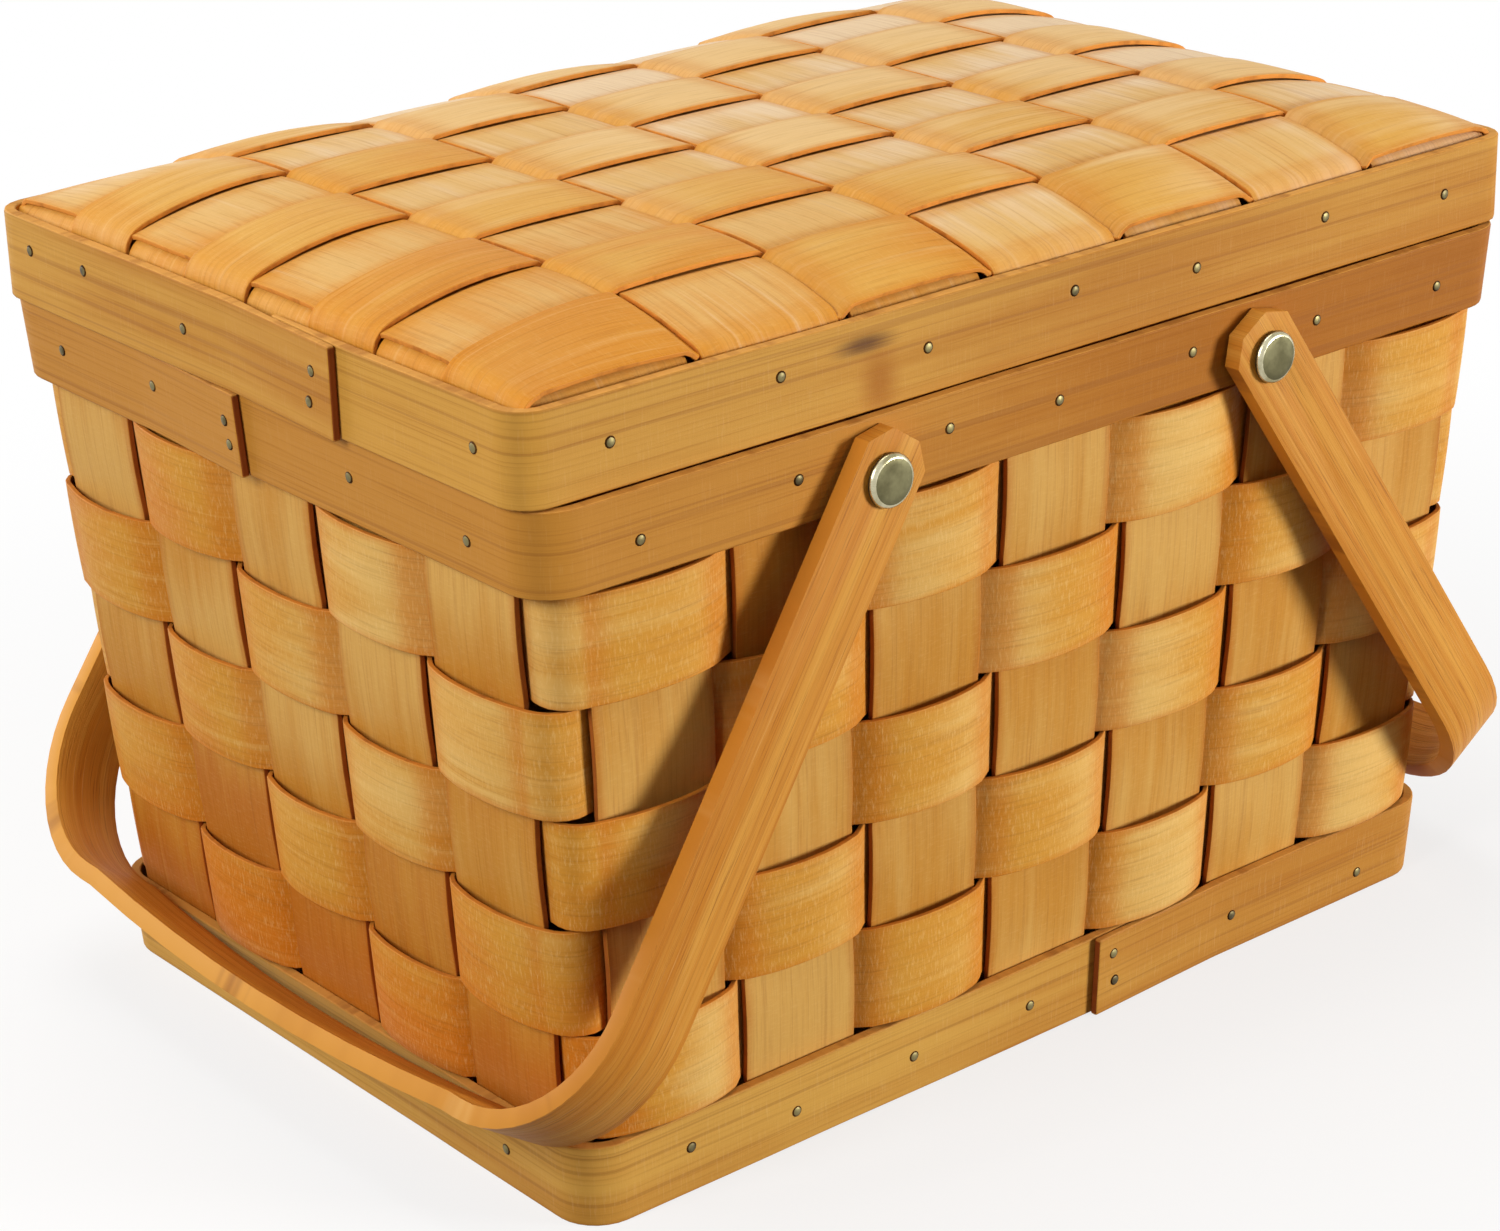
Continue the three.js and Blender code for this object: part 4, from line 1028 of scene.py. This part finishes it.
def drive_nails(name, spots, body):
    """Nail heads at spots of place and outward direction."""
    bm = bmesh.new()
    for place, outward in spots:
        nail = bmesh.new()
        turned_piece(nail, NAIL_PROFILE, NAIL_STEPS)
        # The faces round the rim of each head take the painted shade.
        for face in nail.faces:
            face.material_index = int(face.calc_center_median().xz.length > NAIL_SHADE_FROM * MM)
        turn = Vector((0, 1, 0)).rotation_difference(Vector(outward).normalized()).to_matrix()
        bmesh.ops.rotate(nail, verts=nail.verts, cent=(0, 0, 0), matrix=turn)
        bmesh.ops.translate(nail, verts=nail.verts, vec=Vector(place) * MM)
        mesh = bpy.data.meshes.new("nail")
        nail.to_mesh(mesh)
        nail.free()
        bm.from_mesh(mesh)
        bpy.data.meshes.remove(mesh)
    piece = finished(name, bm, [nail_metal, nail_rim_shade])
    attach(piece, body)


def on_one_side(side, nails, half, out=0):
    """Nails on one side of a band, from their distances along it and their heights."""
    _, _, nx, ny = SIDES[side]
    return [((*on_side(side, half(z), at, out), z), (nx, ny, 0)) for at, z in nails]


def all_round(rows, half):
    """Nails on the four sides of a band."""
    return [spot for side, nails in enumerate(rows) for spot in on_one_side(side, nails, half)]


def lid_face_half(z):
    """Half the length and half the width over the lid band, which stands upright."""
    return LID_HALF


def body_face_half(z):
    """Half the length and half the width over the rim and base bands at a height."""
    return [side + FIT_GAP + BAND_THICKNESS for side in wall(z)]


lid_spots = all_round(LID_NAILS, lid_face_half)
lid_spots += on_one_side(LEFT, LID_LAP_NAILS, lid_face_half, LID_LAP_OUT)
drive_nails("lid_nails", lid_spots, "lid")

rim_spots = all_round(RIM_NAILS, body_face_half)
rim_spots += on_one_side(LEFT, [RIM_RAMP_NAIL], body_face_half, RIM_RAMP_OUT)
rim_spots += on_one_side(LEFT, RIM_LAP_NAILS, body_face_half, RIM_LAP_OUT)
drive_nails("rim_nails", rim_spots, "basket")

base_spots = all_round(BASE_NAILS, body_face_half)
base_spots += on_one_side(FRONT, BASE_LAP_NAILS, body_face_half, BASE_LAP_OUT)
drive_nails("base_nails", base_spots, "basket")

# Studio: a pale painted floor that fades into a white backdrop. The main light is a soft box to the right
# of the front, and weaker ones on the left, behind and above lighten the shadows. Its sizes are in metres.
FLOOR_RADIUS = 6
FLOOR_WHITE = 0.8
FLOOR_BOUNCE = 0.15
FLOOR_FADE = (0.1, 0.5)
FLOOR_GLOW = (0.75, 1)
ROOM_LIGHT = 0.14
ROOM_COLOUR = (1, 0.8, 0.55, 1)
WHITE = (1, 1, 1, 1)
LIGHT_AIM = Vector((0, 0, 0.1))
LIGHTS = (("key_right", (1.15, -1.6, 0.32), 0.5, 38),
          ("fill_left", (-1.15, -0.15, 0.75), 0.6, 11.8),
          ("fill_back", (-0.8, 1.9, 0.5), 0.9, 15),
          ("overhead", (0.1, 0.45, 1.5), 0.9, 12))


def seen_rays(tree):
    """1 for what the camera sees, straight or in a shiny or clear surface, and 0 for light on its way."""
    rays = node(tree, "LightPath")
    seen = rays.outputs["Is Camera Ray"]
    for kind in ("Is Glossy Ray", "Is Transmission Ray"):
        seen = sums(tree, "MAXIMUM", seen, rays.outputs[kind])
    return seen


floor_bm = bmesh.new()
bmesh.ops.create_circle(floor_bm, cap_ends=True, radius=FLOOR_RADIUS, segments=64)
floor_mesh = bpy.data.meshes.new("floor")
floor_bm.to_mesh(floor_mesh)
floor_bm.free()
floor = bpy.data.objects.new("floor", floor_mesh)
bpy.context.scene.collection.objects.link(floor)
floor_paint, tree, shader = new_finish("floor_paint")
shader.inputs["Roughness"].default_value = 0.9
shader.inputs["Specular IOR Level"].default_value = 0.1
place = node(tree, "TexCoord").outputs["Object"]
away = node(tree, "VectorMath", [(0, place)], operation="LENGTH").outputs["Value"]
seen = seen_rays(tree)
paint = blend_colours(tree, seen, (*[FLOOR_BOUNCE] * 3, 1), (*[FLOOR_WHITE] * 3, 1))
tree.links.new(paint, shader.inputs["Base Color"])
fade = sums(tree, "MULTIPLY", spread(tree, away, *FLOOR_FADE, *FLOOR_GLOW), seen)
white = node(tree, "Emission", color=WHITE, strength=1.0)
mixed = node(tree, "MixShader", [("Fac", fade), (1, shader.outputs[0]), (2, white.outputs[0])])
tree.links.new(mixed.outputs[0], tree.nodes["Material Output"].inputs["Surface"])
floor_mesh.materials.append(floor_paint)

world = bpy.data.worlds.new("studio")
bpy.context.scene.world = world
world.use_nodes = True
tree = world.node_tree
seen = seen_rays(tree)
tree.links.new(spread(tree, seen, 0, 1, ROOM_LIGHT, 1.0), tree.nodes["Background"].inputs["Strength"])
sky = blend_colours(tree, seen, ROOM_COLOUR, WHITE)
tree.links.new(sky, tree.nodes["Background"].inputs["Color"])

for name, spot, size, power in LIGHTS:
    lamp = bpy.data.lights.new(name, "AREA")
    lamp.size = size
    lamp.energy = power
    lantern = bpy.data.objects.new(name, lamp)
    lantern.location = spot
    lantern.rotation_euler = (LIGHT_AIM - Vector(spot)).to_track_quat("-Z", "Y").to_euler()
    bpy.context.scene.collection.objects.link(lantern)

# Camera: where the photograph was taken from, found from the straight edges of the lid, rim and foot. It
# looks down on the front left corner through a long lens, and its place is in metres too.
CAMERA_PLACE = Vector((-0.54131, -0.65735, 0.42788))
CAMERA_RIGHT = Vector((0.76928, -0.63840, -0.02548))
CAMERA_UP = Vector((0.26144, 0.27816, 0.92427))

view = bpy.data.cameras.new("camera")
view.lens = 91.22
view.sensor_width = 36
view.sensor_fit = "HORIZONTAL"
camera = bpy.data.objects.new("camera", view)
turn = Matrix((CAMERA_RIGHT, CAMERA_UP, CAMERA_RIGHT.cross(CAMERA_UP))).transposed()
camera.matrix_world = Matrix.Translation(CAMERA_PLACE) @ turn.to_4x4()
bpy.context.scene.collection.objects.link(camera)
bpy.context.scene.camera = camera
bpy.context.scene.view_settings.view_transform = "Standard"
